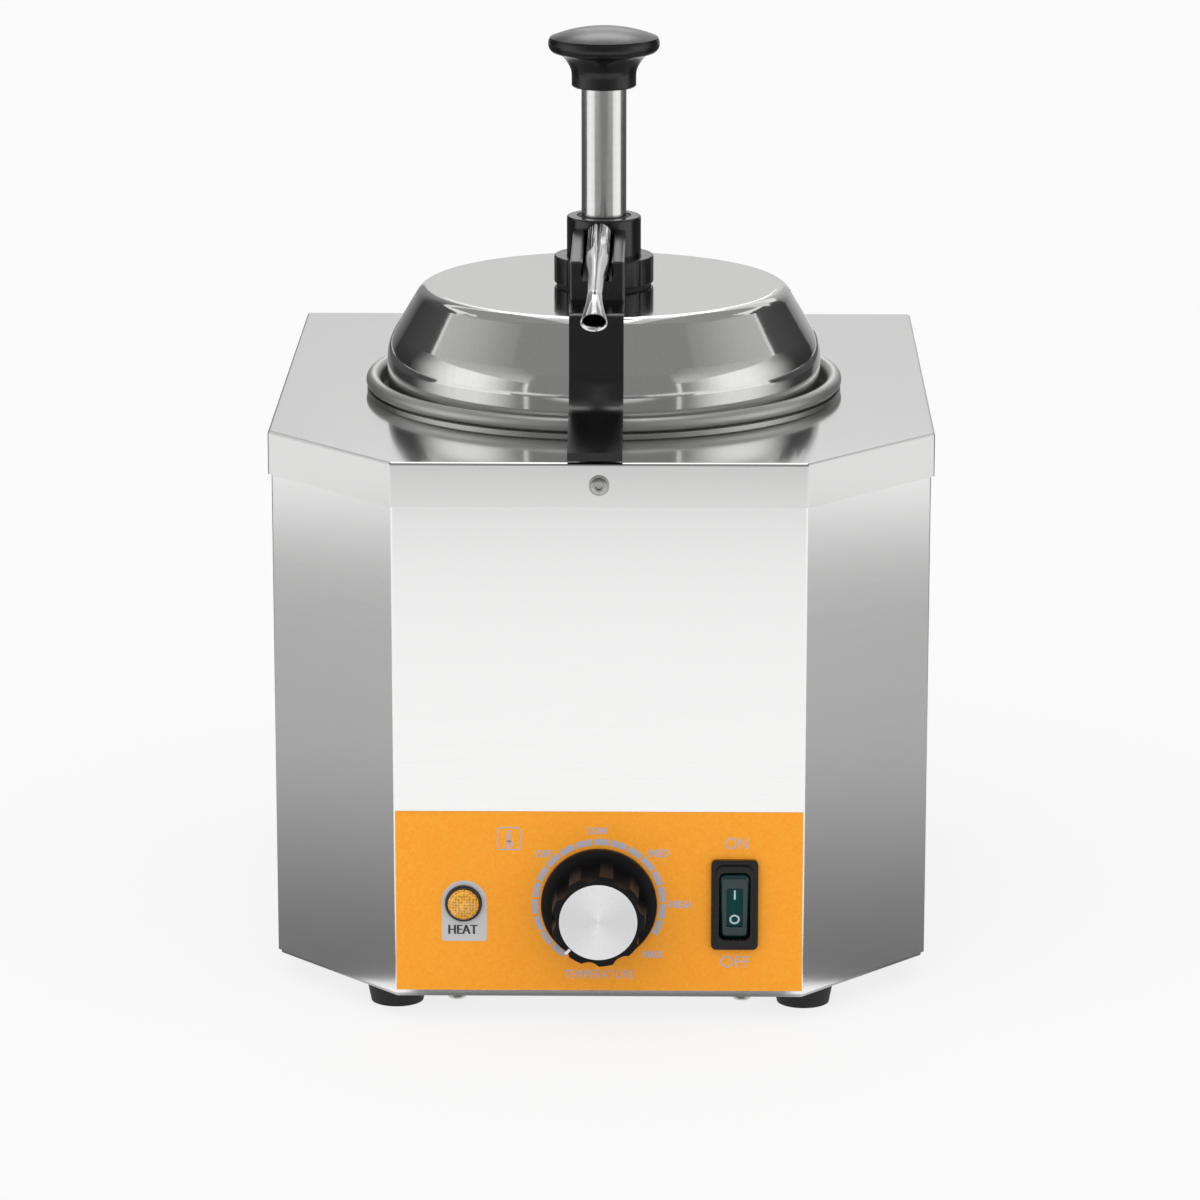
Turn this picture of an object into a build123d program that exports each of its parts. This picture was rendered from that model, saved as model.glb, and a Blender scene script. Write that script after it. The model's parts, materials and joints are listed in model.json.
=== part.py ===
from build123d import *
import os
from math import atan2, cos, degrees, radians, sin, tan

# A countertop hot fudge topping warmer: a chamfered sheet-steel cabinet with a water well, a lift-out
# topping jar, a domed lid and a hand pump with a forward spout. Millimetres, +Z up, front towards -Y.
# The origin is on the plane of the feet, midway across and from front to back.

# Cabinet
deck_width = 260.0
deck_depth = 295.0
deck_front_width = 159.4
deck_chamfer_depth = 55.8
deck_top_z = 223.7
skirt_height = 17.3
sheet = 1.0
skirt_gap = 0.3
bend_radius = 1.5
deck_edge_radius = 1.1
shell_flange = 13.0
rear_return = 15.0
base_thick = 1.5
base_inset = 1.2
rear_panel_margin = 10.0
rear_panel_bottom_z = 15.0
rear_panel_top_z = 209.0
rear_screw_margin = 20.0
rear_rail_z = 203.0
vent_slot_width = 5.0
base_slot_length = 36.0
base_slot_pitch = 50.0
base_slot_rows = (-60.0, -45.0, 55.0, 70.0)
rear_slot_length = 60.0
rear_slot_x = 40.0
rear_slot_z = 130.0
rear_slot_pitch = 12.0
rear_slots = 5

# Feet
foot_height = 10.5
foot_top_radius = 12.0
foot_bottom_radius = 10.3
foot_band = 2.0
foot_recess_play = 0.7
foot_set_out = 0.3
foot_set_back = 30.5

# Screws and nuts
screw_radius = 2.0
hole_play = 0.15
punch_reach = 8.0
overcut = 1.0
pan_head_radius = 3.8
pan_head_height = 2.4
pan_head_crown = 1.4
recess_length = 4.4
recess_width = 0.9
recess_depth = 1.0
screw_tail = 1.5
nut_flats = 7.0
nut_height = 3.0
washer_radius = 3.9
washer_thick = 0.8
socket_head_radius = 3.0
socket_head_height = 2.4
socket_head_crown = 0.8
socket_flats = 2.6
socket_floor = 0.8
front_base_screw_x = 55.5
deck_screw_z = 215.0

# Water well and heater
jar_centre_y = -6.1
well_inner_radius = 92.0
well_floor_z = 56.0
well_flange_width = 2.6
well_corner = 6.0
well_lip_bend = 0.9
element_loop_radius = 56.0
element_radius = 4.0
element_z = 70.0
element_bend = 8.0
element_gap_angle = 44.0
element_tail_z = 44.0
terminal_pin_radius = 1.5
terminal_pin_length = 6.0
bushing_radius = 6.0
bushing_flange_radius = 9.0
bushing_flange_thick = 2.0
bushing_nut_flats = 17.0
bushing_nut_height = 5.0
gasket_thick = 1.0

# Topping jar
jar_sheet = 0.8
jar_well_gap = 0.95
jar_bead_wire = 2.85
jar_rest_gap = 0.15
jar_ledge_z = 219.0
jar_ledge_width = 5.25
jar_bottom_z = 80.0
jar_corner = 10.0
jar_ledge_bend = 1.5
jar_seam_angle = -75.0
jar_seam_spread = 41.0

# Lid
lid_sheet = 0.8
lid_top_z = 266.0
lid_rim_gap = 2.85
lid_shoulder_width = 14.0
lid_shoulder_z = 242.5
lid_seat_gap = 0.1
lid_crown_bend = 6.5
lid_shoulder_bend = 20.0

# Pump barrel and its fixings
barrel_outer_radius = 13.0
barrel_wall = 1.5
barrel_top_z = 292.0
barrel_bottom_z = 104.0
barrel_flange_width = 5.0
barrel_flange_thick = 3.0
ring_nut_wall = 7.0
ring_nut_height = 11.0
ring_nut_edge = 0.8
ring_nut_flutes = 12
ring_nut_flute_radius = 1.2
ring_nut_flute_out = 0.6
lid_gasket_inset = 1.0
collar_wall = 1.9
collar_top_z = 294.0
collar_edge = 0.8
wiper_step = 0.5
wiper_set_back = 0.3
running_gap = 0.05

# Foot valve
valve_shoulder = 1.5
valve_height = 16.0
valve_edge = 1.5
valve_seat_rise = 6.0
valve_spigot_height = 13.0
inlet_radius = 4.5
ball_radius = 6.0
ball_play = 0.8
ball_lift = 3.0
ball_pin_radius = 1.0
ball_pin_gap = 0.2
pin_set_back = 0.2

# Plunger
plunger_radius = 9.0
plunger_wall = 0.8
plunger_stroke = 45.0
piston_height = 14.0
piston_stroke_gap = 24.0
piston_gap = 0.1
piston_bore_radius = 3.6
outlet_seat_rise = 1.0
window_rise = 22.0
window_length = 10.0
window_width = 6.0
seal_height = 3.0
seal_depth = 2.0
seal_gap = 0.025
outlet_ball_radius = 5.0
spring_wire_radius = 0.8
spring_turns = 10
knob_stroke_gap = 7.0
knob_socket_depth = 12.0
knob_height = 24.0
knob_radius = 22.2
knob_gate_radius = 0.8
knob_shoulder_radius = 21.5
knob_shoulder_drop = 4.2
knob_rim_drop = 5.9
knob_lip_radius = 20.8
knob_lip_drop = 9.9
knob_ledge_radius = 17.8
knob_ledge_drop = 10.9
knob_throat_radius = 15.1
knob_throat_drop = 13.6
knob_neck_radius = 12.9
knob_neck_drop = 19.5
knob_foot_edge = 0.6

# Spout
spout_z = 288.3
spout_root_radius = 4.9
spout_waist_radius = 2.85
spout_mouth_radius = 5.2
spout_wall = 0.6
spout_root_length = 72.0
spout_neck_growth = 0.8
spout_waist_run = 8.0
spout_bend_growth = 0.05
spout_bend_slope = 0.03
spout_bend_steps = 4
spout_flare_power = 2.4
spout_overhang = 20.5
spout_mouth_tilt = 39.0
spout_bend_radius = 28.0

# Locating arm on the collar
arm_width = 21.0
arm_offset = -1.6
arm_slot_width = 11.4
arm_top_z = 290.0
arm_prong_bottom_z = 275.0
arm_prong_set_back = 21.5
arm_rim_gap = 1.95
arm_thick = 4.5
arm_overhang = 2.5
arm_tip_z = 228.2
arm_tip_thick = 3.2
arm_bend = 18.0
arm_draft = 1.0
arm_lid_gap = 2.0
arm_nut_gap = 1.0
arm_slot_gap = 1.0
arm_shelf_depth = 12.0
arm_shelf_drop = 2.0
arm_shelf_bend = 4.0
arm_heel_bend = 5.0
arm_tip_rise = 12.0
arm_prong_edge = 0.7
arm_border = 1.3
arm_panel_depth = 0.5
arm_panel_top_z = 258.0

# Control panel
overlay_top_z = 85.6
overlay_thick = 0.4
overlay_margin = 0.3
overlay_foot_margin = 1.4
controls_z = 48.8
lamp_x = -52.5
switch_x = 52.5
dial_skirt_radius = 22.5
dial_grip_radius = 18.0
dial_skirt_thick = 4.0
dial_skirt_edge = 2.4
dial_skirt_hollow = 2.0
dial_grip_draft = 0.8
dial_grip_edge = 1.2
dial_wall = 2.5
dial_hollow_depth = 14.0
dial_socket_depth = 16.0
dial_length = 23.5
dial_gap = 1.5
dial_cap_radius = 15.0
dial_cap_thick = 1.2
dial_flutes = 9
dial_flute_radius = 5.0
dial_flute_pitch_radius = 21.2
dial_flute_rise = 1.0
shaft_radius = 3.0
shaft_end_gap = 1.0
thermostat_nose_radius = 5.35
thermostat_bore_depth = 9.0
thermostat_width = 38.0
thermostat_height = 34.0
thermostat_depth = 28.0
thermostat_corner = 3.0
thermostat_tab_x = 9.0
thermostat_tab_drop = 12.0
thermostat_hole_depth = 5.0
thermostat_screw_bite = 4.5
flat_head_thick = 1.2
tab_width = 6.3
tab_thick = 0.8
tab_length = 8.0
thermostat_screw_pitch = 28.0
lamp_bezel_radius = 7.2
lamp_bezel_thick = 2.0
lamp_bezel_edge = 0.6
lamp_lens_radius = 6.2
lamp_lens_height = 4.0
lamp_lens_tip = 2.4
lamp_lens_sides = 12
lamp_lens_facet = 0.1
lamp_lens_seat = 0.8
lamp_barrel_radius = 6.0
lamp_barrel_length = 24.0
lamp_wall = 1.2
lamp_bulb_room = 20.0
lamp_bulb_radius = 2.6
lamp_bulb_length = 14.0
lamp_bulb_tip = 2.0
lamp_tab_x = 2.6
lamp_tab_width = 3.0
lamp_tab_length = 6.0
lamp_nut_radius = 9.0
lamp_nut_thick = 4.0
switch_width = 18.2
switch_height = 36.0
switch_frame_thick = 2.6
switch_step = 1.4
switch_step_inset = 1.9
switch_corner = 2.0
switch_step_corner = 3.0
switch_edge = 0.5
switch_well_depth = 9.0
switch_tab_pitch = 8.0
switch_body_width = 14.4
switch_body_height = 28.4
switch_body_depth = 22.0
boot_width = 11.4
boot_height = 26.6
boot_corner = 2.2
boot_edge = 1.6
boot_thick = 5.2
boot_depth = 1.5
boot_gap = 0.4
boot_play = 0.1
rocker_face_width = 6.2
rocker_face_height = 16.4
rocker_corner = 0.5
rocker_thick = 4.6
rocker_pivot_radius = 1.2
rocker_pivot_reach = 6.8
rocker_stem_height = 8.0
rocker_stem_depth = 5.0
rocker_tilt = 8.0

# Rear cable entry
gland_x = 62.0
gland_z = 42.0
gland_thread_radius = 9.0
gland_flats = 22.0
gland_flange_thick = 5.0
gland_thread_length = 10.0
gland_dome_radius = 10.7
gland_dome_length = 21.0
gland_dome_edge = 4.0
gland_mouth_radius = 4.2
gland_seal_radius = 5.6
gland_seal_start = 1.0
gland_seal_length = 14.0
gland_bore_radius = 3.6
gland_locknut_thick = 4.0

# Wiring parts under the well
bulb_radius = 3.0
bulb_length = 60.0
bulb_y = -40.0
clip_x = 18.0
clip_thick = 0.8
clip_width = 8.0
clip_reach = 9.0
clip_opening = 2.4
capillary_radius = 1.0
cutout_x = -32.0
cutout_y = -10.0
cutout_radius = 8.3
cutout_height = 9.0
cutout_tab_x = 5.0
cutout_tab_width = 6.0
cutout_tab_length = 7.0
strap_width = 6.0
strap_gap = 0.2
strap_ear = 7.2
terminal_length = 66.0
terminal_width = 20.0
terminal_height = 16.0
terminal_rear_gap = 35.5
terminal_poles = 3
terminal_pole_rise = 6.0
terminal_screw_offset = 5.0
terminal_well_radius = 2.4
terminal_well_depth = 7.0
terminal_screw_radius = 2.3
terminal_screw_length = 5.0
earth_x = -80.0
earth_y = 60.0
earth_nut_pitch = 4.5
earth_stud_length = 18.0
earth_head_thick = 1.5
wire_radius = 1.2
wire_play = 0.4
wire_bite = 2.0
wire_bend = 6.0

front_y = -deck_depth / 2
rear_y = deck_depth / 2
shell_inset = sheet + skirt_gap
shell_front_y = front_y + shell_inset
shell_rear_y = rear_y - shell_inset
panel_front_y = shell_front_y - overlay_thick
panel_back_y = shell_front_y + sheet
shell_top_z = deck_top_z - sheet
shell_bottom_z = foot_height + base_thick
well_outer_radius = well_inner_radius + sheet
well_floor_top_z = well_floor_z + sheet
jar_neck_radius = well_inner_radius - jar_well_gap - jar_sheet
jar_bead_radius = jar_neck_radius + jar_bead_wire
jar_wall_radius = jar_neck_radius - jar_ledge_width
lid_skirt_radius = jar_neck_radius - lid_rim_gap
lid_plateau_radius = lid_skirt_radius - lid_shoulder_width
barrel_inner_radius = barrel_outer_radius - barrel_wall
barrel_flange_radius = barrel_outer_radius + barrel_flange_width
ring_nut_radius = barrel_outer_radius + ring_nut_wall
lid_gasket_radius = ring_nut_radius - lid_gasket_inset
collar_radius = barrel_outer_radius + collar_wall
wiper_radius = barrel_inner_radius - wiper_step
valve_radius = barrel_outer_radius + valve_shoulder
arm_front_y = jar_centre_y - jar_bead_radius - jar_bead_wire - arm_rim_gap - arm_thick
arm_prong_end_y = arm_front_y + arm_prong_set_back
arm_tip_y = front_y - arm_overhang
spout_mouth_y = front_y - spout_overhang
spout_bend_y = spout_mouth_y + spout_bend_radius * sin(radians(spout_mouth_tilt))
spout_waist_y = spout_bend_y + spout_waist_run
spout_root_end_y = jar_centre_y - spout_root_length
terminal_y = rear_y - terminal_rear_gap
clear_radius = screw_radius + hole_play
ring_nut_bottom_z = lid_top_z + gasket_thick
collar_bottom_z = ring_nut_bottom_z + ring_nut_height
valve_bottom_z = barrel_bottom_z - valve_height
spigot_top_z = barrel_bottom_z + valve_spigot_height
inlet_seat_z = valve_bottom_z + valve_seat_rise
inlet_chamber = ball_radius + ball_play
piston_z = spigot_top_z + plunger_stroke + piston_stroke_gap
piston_top_z = piston_z + piston_height
seal_z = piston_z + (piston_height - seal_height) / 2
outlet_seat_z = piston_top_z + outlet_seat_rise
outlet_chamber = outlet_ball_radius + ball_play
tube_inner_radius = plunger_radius - plunger_wall
knob_bottom_z = collar_top_z + plunger_stroke + knob_stroke_gap
tube_top_z = knob_bottom_z + knob_socket_depth
knob_top_z = knob_bottom_z + knob_height
pole_z = shell_bottom_z + terminal_pole_rise


def over_jar(z):
    """A place on the jar's axis, which is the pump's axis too."""
    return Pos(0, jar_centre_y, z)


def disc(radius, height, low=0.0):
    """An upright cylinder from a height up."""
    return Pos(0, 0, low) * Cylinder(radius, height, align=(Align.CENTER, Align.CENTER, Align.MIN))


def upright_cone(low_radius, high_radius, height):
    """An upright cone standing on z=0, cut off flat at the top."""
    return Cone(low_radius, high_radius, height, align=(Align.CENTER, Align.CENTER, Align.MIN))


def tube(outer, inner, height, low=0.0):
    """An upright pipe from a height up."""
    return disc(outer, height, low) - disc(inner, height, low)


def punch(radius):
    """A short round cutter through a sheet, centred on its place."""
    return Cylinder(radius, punch_reach)


def hexagon(flats, height, low=0.0):
    """An upright hexagonal prism from a height up."""
    return Pos(0, 0, low) * extrude(RegularPolygon(flats / 2, 6, major_radius=False), height)


def crosswise(radius, length):
    """A round bar that lies along X, centred on its place."""
    return Rot(0, 90, 0) * Cylinder(radius, length)


def block(low, high):
    """A box between two opposite corners."""
    size = [h - l for l, h in zip(low, high)]
    middle = [(h + l) / 2 for l, h in zip(low, high)]
    return Pos(*middle) * Box(*size)


def hanging_tab(width, depth, length):
    """A flat connector tab that hangs down from z=0."""
    return Pos(0, 0, -length / 2) * Box(width, depth, length)


def facing_front(x, y, z):
    """A place whose local +Z points out of the front of the cabinet."""
    return Pos(x, y, z) * Rot(90, 0, 0)


def facing_rear(x, y, z):
    """A place whose local +Z points out of the back of the cabinet."""
    return Pos(x, y, z) * Rot(-90, 0, 0)


def outline(inset, radius):
    """The cabinet's plan, drawn in from the deck's edge, with its vertical bends rounded."""
    half, front = deck_width / 2, deck_front_width / 2
    shoulder = front_y + deck_chamfer_depth
    plan = make_face(
        Polyline(
            (-front, front_y), (front, front_y), (half, shoulder), (half, rear_y),
            (-half, rear_y), (-half, shoulder), close=True,
        )
    )
    if inset:
        plan = offset(plan, amount=-inset, kind=Kind.INTERSECTION)
    return fillet(plan.vertices(), radius)


def prism(plan, low_z, high_z):
    """A plan drawn up from one height to another."""
    return Pos(0, 0, low_z) * extrude(plan, high_z - low_z)


def bent_sheet(points, radii, thick, side):
    """A sheet's section in radius and height: a bent line thickened to one side."""
    line = FilletPolyline(*points, radius=radii)
    return make_face(offset(line, amount=thick, side=side, closed=True).edges())


def spun(section):
    """A section of radius and height turned about the jar's axis."""
    return Pos(0, jar_centre_y, 0) * revolve(Plane.XZ * section, Axis.Z)


def turned(points):
    """A solid turned about Z from a closed outline of radius and height."""
    return revolve(Plane.XZ * make_face(Polyline(*points, close=True)), Axis.Z)


def on_panel(x, y):
    """A place at the height of the controls whose local +Z points out of the front."""
    return facing_front(x, y, controls_z)


def ball_seat_height(radius, mouth, mouth_z):
    """The height of a ball's centre when it rests on a 45 degree cone that starts at mouth_z."""
    return mouth_z - mouth + radius / sin(radians(45)) + running_gap


def thermostat_screw_xs():
    """How far left and right of the dial the thermostat's two screws stand."""
    return (-thermostat_screw_pitch / 2, thermostat_screw_pitch / 2)


def foot_places():
    """The plan positions of the four feet."""
    half_x, half_y = deck_front_width / 2 + foot_set_out, rear_y - foot_set_back
    return [(x, y) for x in (-half_x, half_x) for y in (-half_y, half_y)]


def base_screw_places():
    """The plan positions of the screws that hold the base plate to the shell's flange."""
    front = shell_front_y + shell_flange / 2
    rear = shell_rear_y - shell_flange / 2
    side = deck_width / 2 - shell_inset - shell_flange / 2
    ends = [(x, y) for x in (-front_base_screw_x, front_base_screw_x) for y in (front, rear)]
    return ends + [(-side, 0), (side, 0)]


def deck_screw_places():
    """Each skirt screw's place on the skirt's outer face, local +Z pointing out of the cabinet."""
    return [facing_front(0, front_y, deck_screw_z), facing_rear(0, rear_y, deck_screw_z)]


def rear_screw_places():
    """The screws that hold the rear panel to the shell's returns."""
    x = deck_width / 2 - shell_inset - rear_return / 2
    low, high = rear_panel_bottom_z + rear_screw_margin, rear_panel_top_z - rear_screw_margin
    heights = (low, (low + high) / 2, high)
    return [facing_rear(side * x, shell_rear_y, z) for side in (-1, 1) for z in heights]


def make_top_deck():
    """The folded deck: a flat top with a skirt all round and a hole for the well."""
    outer = prism(outline(0, bend_radius), deck_top_z - skirt_height, deck_top_z)
    outer = fillet(outer.faces().sort_by(Axis.Z)[-1].edges(), deck_edge_radius)
    inner = prism(outline(sheet, bend_radius - sheet), deck_top_z - skirt_height, deck_top_z - sheet)
    mouth = over_jar(deck_top_z) * punch(well_outer_radius + hole_play)
    holes = [place * punch(clear_radius) for place in deck_screw_places()]
    return outer - inner - mouth - holes


def panel_cutouts():
    """The holes through the front panel and its overlay."""
    dial = on_panel(0, shell_front_y) * punch(thermostat_nose_radius + hole_play)
    lamp = on_panel(lamp_x, shell_front_y) * punch(lamp_barrel_radius + hole_play)
    switch = on_panel(switch_x, shell_front_y) * Box(
        switch_body_width + 2 * hole_play, switch_body_height + 2 * hole_play, punch_reach
    )
    screws = [on_panel(x, shell_front_y) * punch(clear_radius) for x in thermostat_screw_xs()]
    return [dial, lamp, switch, *screws]


def make_body_shell():
    """The wrapped front, chamfers and sides, with a bottom flange and rear returns."""
    outer = outline(shell_inset, bend_radius)
    inner = outline(shell_inset + sheet, bend_radius - sheet / 2)
    wall = prism(outer, shell_bottom_z, shell_top_z) - prism(inner, shell_bottom_z, shell_top_z)
    flange_hole = outline(shell_inset + shell_flange, bend_radius)
    flange = prism(outer, shell_bottom_z, shell_bottom_z + sheet)
    flange -= prism(flange_hole, shell_bottom_z, shell_bottom_z + sheet)
    window_half = deck_width / 2 - shell_inset - rear_return
    window = block(
        (-window_half, shell_rear_y - 3 * sheet, shell_bottom_z + sheet),
        (window_half, rear_y, rear_rail_z),
    )
    shell = wall - window + flange
    shell -= panel_cutouts()
    places = [Pos(x, y, shell_bottom_z) for x, y in base_screw_places()]
    places += deck_screw_places() + rear_screw_places()
    shell -= [place * punch(clear_radius) for place in places]
    return shell


def make_base_plate():
    """The flat bottom plate, with cooling slots and holes for its screws and the feet."""
    plate = prism(outline(shell_inset + base_inset, bend_radius), foot_height, shell_bottom_z)
    slot = extrude(SlotOverall(base_slot_length, vent_slot_width), punch_reach / 2, both=True)
    slots = [
        Pos(x, y, foot_height) * slot
        for x in (-base_slot_pitch, 0, base_slot_pitch)
        for y in base_slot_rows
    ]
    places = [*foot_places(), *base_screw_places(), (earth_x, earth_y)]
    holes = [Pos(x, y, foot_height) * punch(clear_radius) for x, y in places]
    return plate - slots - holes


def make_rear_panel():
    """The removable back, seated inside the returns, with vent slots and the cable hole."""
    half = deck_width / 2 - rear_panel_margin
    back = shell_rear_y - sheet
    panel = block((-half, back - sheet, rear_panel_bottom_z), (half, back, rear_panel_top_z))
    slot = extrude(SlotOverall(rear_slot_length, vent_slot_width), punch_reach / 2, both=True)
    slots = [
        facing_rear(side * rear_slot_x, back, rear_slot_z + n * rear_slot_pitch) * slot
        for side in (-1, 1)
        for n in range(rear_slots)
    ]
    cable = facing_rear(gland_x, back, gland_z) * punch(gland_thread_radius + hole_play)
    screws = [place * punch(clear_radius) for place in rear_screw_places()]
    return panel - slots - cable - screws


def make_overlay():
    """The printed control overlay stuck on the lower front panel."""
    fold = atan2(deck_chamfer_depth, (deck_width - deck_front_width) / 2)
    half = deck_front_width / 2 - shell_inset * tan(fold / 2) - overlay_margin
    overlay_low_z = shell_bottom_z + overlay_foot_margin
    face = Rectangle(2 * half, overlay_top_z - overlay_low_z)
    middle = (overlay_top_z + overlay_low_z) / 2
    overlay = facing_front(0, shell_front_y, middle) * extrude(face, overlay_thick)
    return overlay - panel_cutouts()


def make_feet():
    """Four tapered rubber feet, each counterbored for its screw."""
    recess = pan_head_radius + foot_recess_play
    foot = turned(
        [
            (clear_radius, foot_height), (foot_top_radius, foot_height),
            (foot_top_radius, foot_height - foot_band), (foot_bottom_radius, 0), (recess, 0),
            (recess, foot_height / 2), (clear_radius, foot_height / 2),
        ]
    )
    return [Pos(x, y, 0) * foot for x, y in foot_places()]


ball_z = ball_seat_height(ball_radius, inlet_radius, inlet_seat_z)
ball_pin_z = ball_z + ball_radius + ball_lift + ball_pin_radius + ball_pin_gap
outlet_ball_z = ball_seat_height(outlet_ball_radius, piston_bore_radius, outlet_seat_z)
outlet_pin_z = outlet_ball_z + outlet_ball_radius + ball_lift + ball_pin_radius + ball_pin_gap
dial_place = on_panel(0, panel_front_y - dial_gap)
rocker_place = on_panel(switch_x, panel_front_y) * Rot(rocker_tilt, 0, 0)
gland_place = facing_rear(gland_x, shell_rear_y - sheet, gland_z)


def pan_screw(length):
    """A cross-recessed pan-head screw: the head stands on z=0 and the shank runs down."""
    head = disc(pan_head_radius, pan_head_height)
    head = fillet(head.edges().filter_by(GeomType.CIRCLE).sort_by(Axis.Z)[-1], pan_head_crown)
    wing = Box(recess_length, recess_width, 2 * recess_depth)
    cross = Pos(0, 0, pan_head_height) * (wing + Rot(0, 0, 90) * wing)
    return head - cross + disc(screw_radius, length, -length)


def make_foot_screws():
    """A screw up through each foot."""
    length = foot_height / 2 + base_thick + nut_height + screw_tail
    screw = Rot(180, 0, 0) * pan_screw(length)
    return [Pos(x, y, foot_height / 2) * screw for x, y in foot_places()]


def hex_nut():
    """A nut standing on z=0 with a plain bore the size of the screw."""
    return hexagon(nut_flats, nut_height) - punch(screw_radius)


def make_nuts():
    """All the M4 nuts: on the feet, the base screws, the deck screws, the back and the earth stud."""
    deck_back = sheet + skirt_gap + sheet + nut_height
    places = [Pos(x, y, shell_bottom_z) for x, y in foot_places()]
    places += [Pos(x, y, shell_bottom_z + sheet) for x, y in base_screw_places()]
    places += [place * Pos(0, 0, -deck_back) for place in deck_screw_places()]
    places += [place * Pos(0, 0, -2 * sheet - nut_height) for place in rear_screw_places()]
    places += [Pos(earth_x, earth_y, shell_bottom_z + n * earth_nut_pitch) for n in (0, 1)]
    return [place * hex_nut() for place in places]


def make_base_screws():
    """Pan-head screws under the base plate's edge."""
    screw = Rot(180, 0, 0) * pan_screw(base_thick + sheet + nut_height + screw_tail)
    return [Pos(x, y, foot_height) * screw for x, y in base_screw_places()]


def make_deck_screws():
    """Socket-head screws that pin the deck's skirt to the shell."""
    length = washer_thick + 2 * sheet + skirt_gap + nut_height + screw_tail
    head = disc(socket_head_radius, socket_head_height)
    head = fillet(head.edges().filter_by(GeomType.CIRCLE).sort_by(Axis.Z)[-1], socket_head_crown)
    head -= hexagon(socket_flats, socket_head_height, socket_floor)
    screw = head + disc(screw_radius, length, -length)
    return [place * Pos(0, 0, washer_thick) * screw for place in deck_screw_places()]


def make_deck_washers():
    """A flat washer under each skirt screw."""
    washer = tube(washer_radius, clear_radius, washer_thick)
    return [place * washer for place in deck_screw_places()]


def make_rear_screws():
    """Pan-head screws through the returns into the rear panel."""
    return [place * pan_screw(2 * sheet + nut_height + screw_tail) for place in rear_screw_places()]


def make_water_well():
    """The deep-drawn well, hung by its flange on the deck."""
    top = deck_top_z + sheet
    section = bent_sheet(
        [
            (well_outer_radius + well_flange_width, top), (well_inner_radius, top),
            (well_inner_radius, well_floor_top_z), (0, well_floor_top_z),
        ],
        [well_lip_bend, well_corner],
        sheet,
        Side.LEFT,
    )
    holes = [Pos(x, y, well_floor_z) * punch(bushing_radius + hole_play) for x, y in element_legs()]
    return spun(section) - holes


def element_ends():
    """The loop's two ends, each a point and the direction towards the other end."""
    ends = []
    for side in (-1, 1):
        angle = radians(90 + side * element_gap_angle / 2)
        point = Vector(0, jar_centre_y, element_z) + element_loop_radius * Vector(cos(angle), sin(angle), 0)
        ends.append((point, Vector(sin(angle), -cos(angle), 0) * side))
    return ends


def element_legs():
    """Where the heater's legs pass down through the well floor."""
    feet = [point + direction * element_bend for point, direction in element_ends()]
    return [(foot.X, foot.Y) for foot in feet]


def make_heating_element():
    """The tubular heater: an open loop above the well floor with two legs bent down through it."""
    start_angle = 90 + element_gap_angle / 2
    sides = []
    for (point, inward), (x, y) in zip(element_ends(), element_legs()):
        middle = point + inward * element_bend * sin(radians(45))
        middle -= Vector(0, 0, element_bend * (1 - cos(radians(45))))
        foot = Vector(x, y, element_z - element_bend)
        bend = ThreePointArc(point, middle, foot)
        leg = Line(foot, Vector(x, y, element_tail_z))
        sides.append((bend, leg))
    loop = CenterArc((0, jar_centre_y, element_z), element_loop_radius, start_angle, 360 - element_gap_angle)
    (bend_a, leg_a), (bend_b, leg_b) = sides
    path = Wire([leg_a.edge(), bend_a.edge(), loop.edge(), bend_b.edge(), leg_b.edge()])
    end_x, end_y = element_legs()[0]
    section = Plane(origin=(end_x, end_y, element_tail_z), z_dir=(0, 0, 1)) * Circle(element_radius)
    element = sweep(section, path=path)
    pin = disc(terminal_pin_radius, terminal_pin_length, element_tail_z - terminal_pin_length)
    for x, y in element_legs():
        element += Pos(x, y, 0) * pin
    return element


def make_element_bushings():
    """Brass bushings that seal the heater's legs in the well floor."""
    low = well_floor_z - bushing_nut_height - screw_tail
    flange_z = well_floor_top_z + gasket_thick
    body = disc(bushing_radius, flange_z - low, low)
    body += disc(bushing_flange_radius, bushing_flange_thick, flange_z)
    body -= disc(element_radius, flange_z, low)
    return [Pos(x, y, 0) * body for x, y in element_legs()]


def make_element_gaskets():
    """Flat gaskets under the bushing flanges."""
    gasket = tube(bushing_flange_radius, bushing_radius, gasket_thick, well_floor_top_z)
    return [Pos(x, y, 0) * gasket for x, y in element_legs()]


def make_element_nuts():
    """Hexagon nuts that pull the bushings down on the well floor."""
    low = well_floor_z - bushing_nut_height
    nut = hexagon(bushing_nut_flats, bushing_nut_height, low) - disc(bushing_radius, bushing_nut_height, low)
    return [Pos(x, y, 0) * nut for x, y in element_legs()]


def make_jar():
    """The lift-out stainless jar: rolled rim, neck, lid ledge, straight wall and rounded floor."""
    bead_z = deck_top_z + sheet + jar_rest_gap + jar_bead_wire
    neck, inside, floor = jar_neck_radius, jar_wall_radius - jar_sheet, jar_bottom_z + jar_sheet
    wall = bent_sheet(
        [(neck, bead_z), (neck, jar_ledge_z), (inside, jar_ledge_z), (inside, floor), (0, floor)],
        [jar_ledge_bend, jar_ledge_bend, jar_corner],
        jar_sheet,
        Side.LEFT,
    )
    far = 2 * jar_bead_wire
    half = far * tan(radians(jar_seam_spread / 2))
    open_seam = make_face(Polyline((0, 0), (far, -half), (far, half), close=True))
    bead = Circle(jar_bead_wire) - Circle(jar_bead_wire - jar_sheet)
    bead -= Rot(0, 0, jar_seam_angle) * open_seam
    return spun(wall + Pos(jar_bead_radius, bead_z) * bead)


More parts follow.
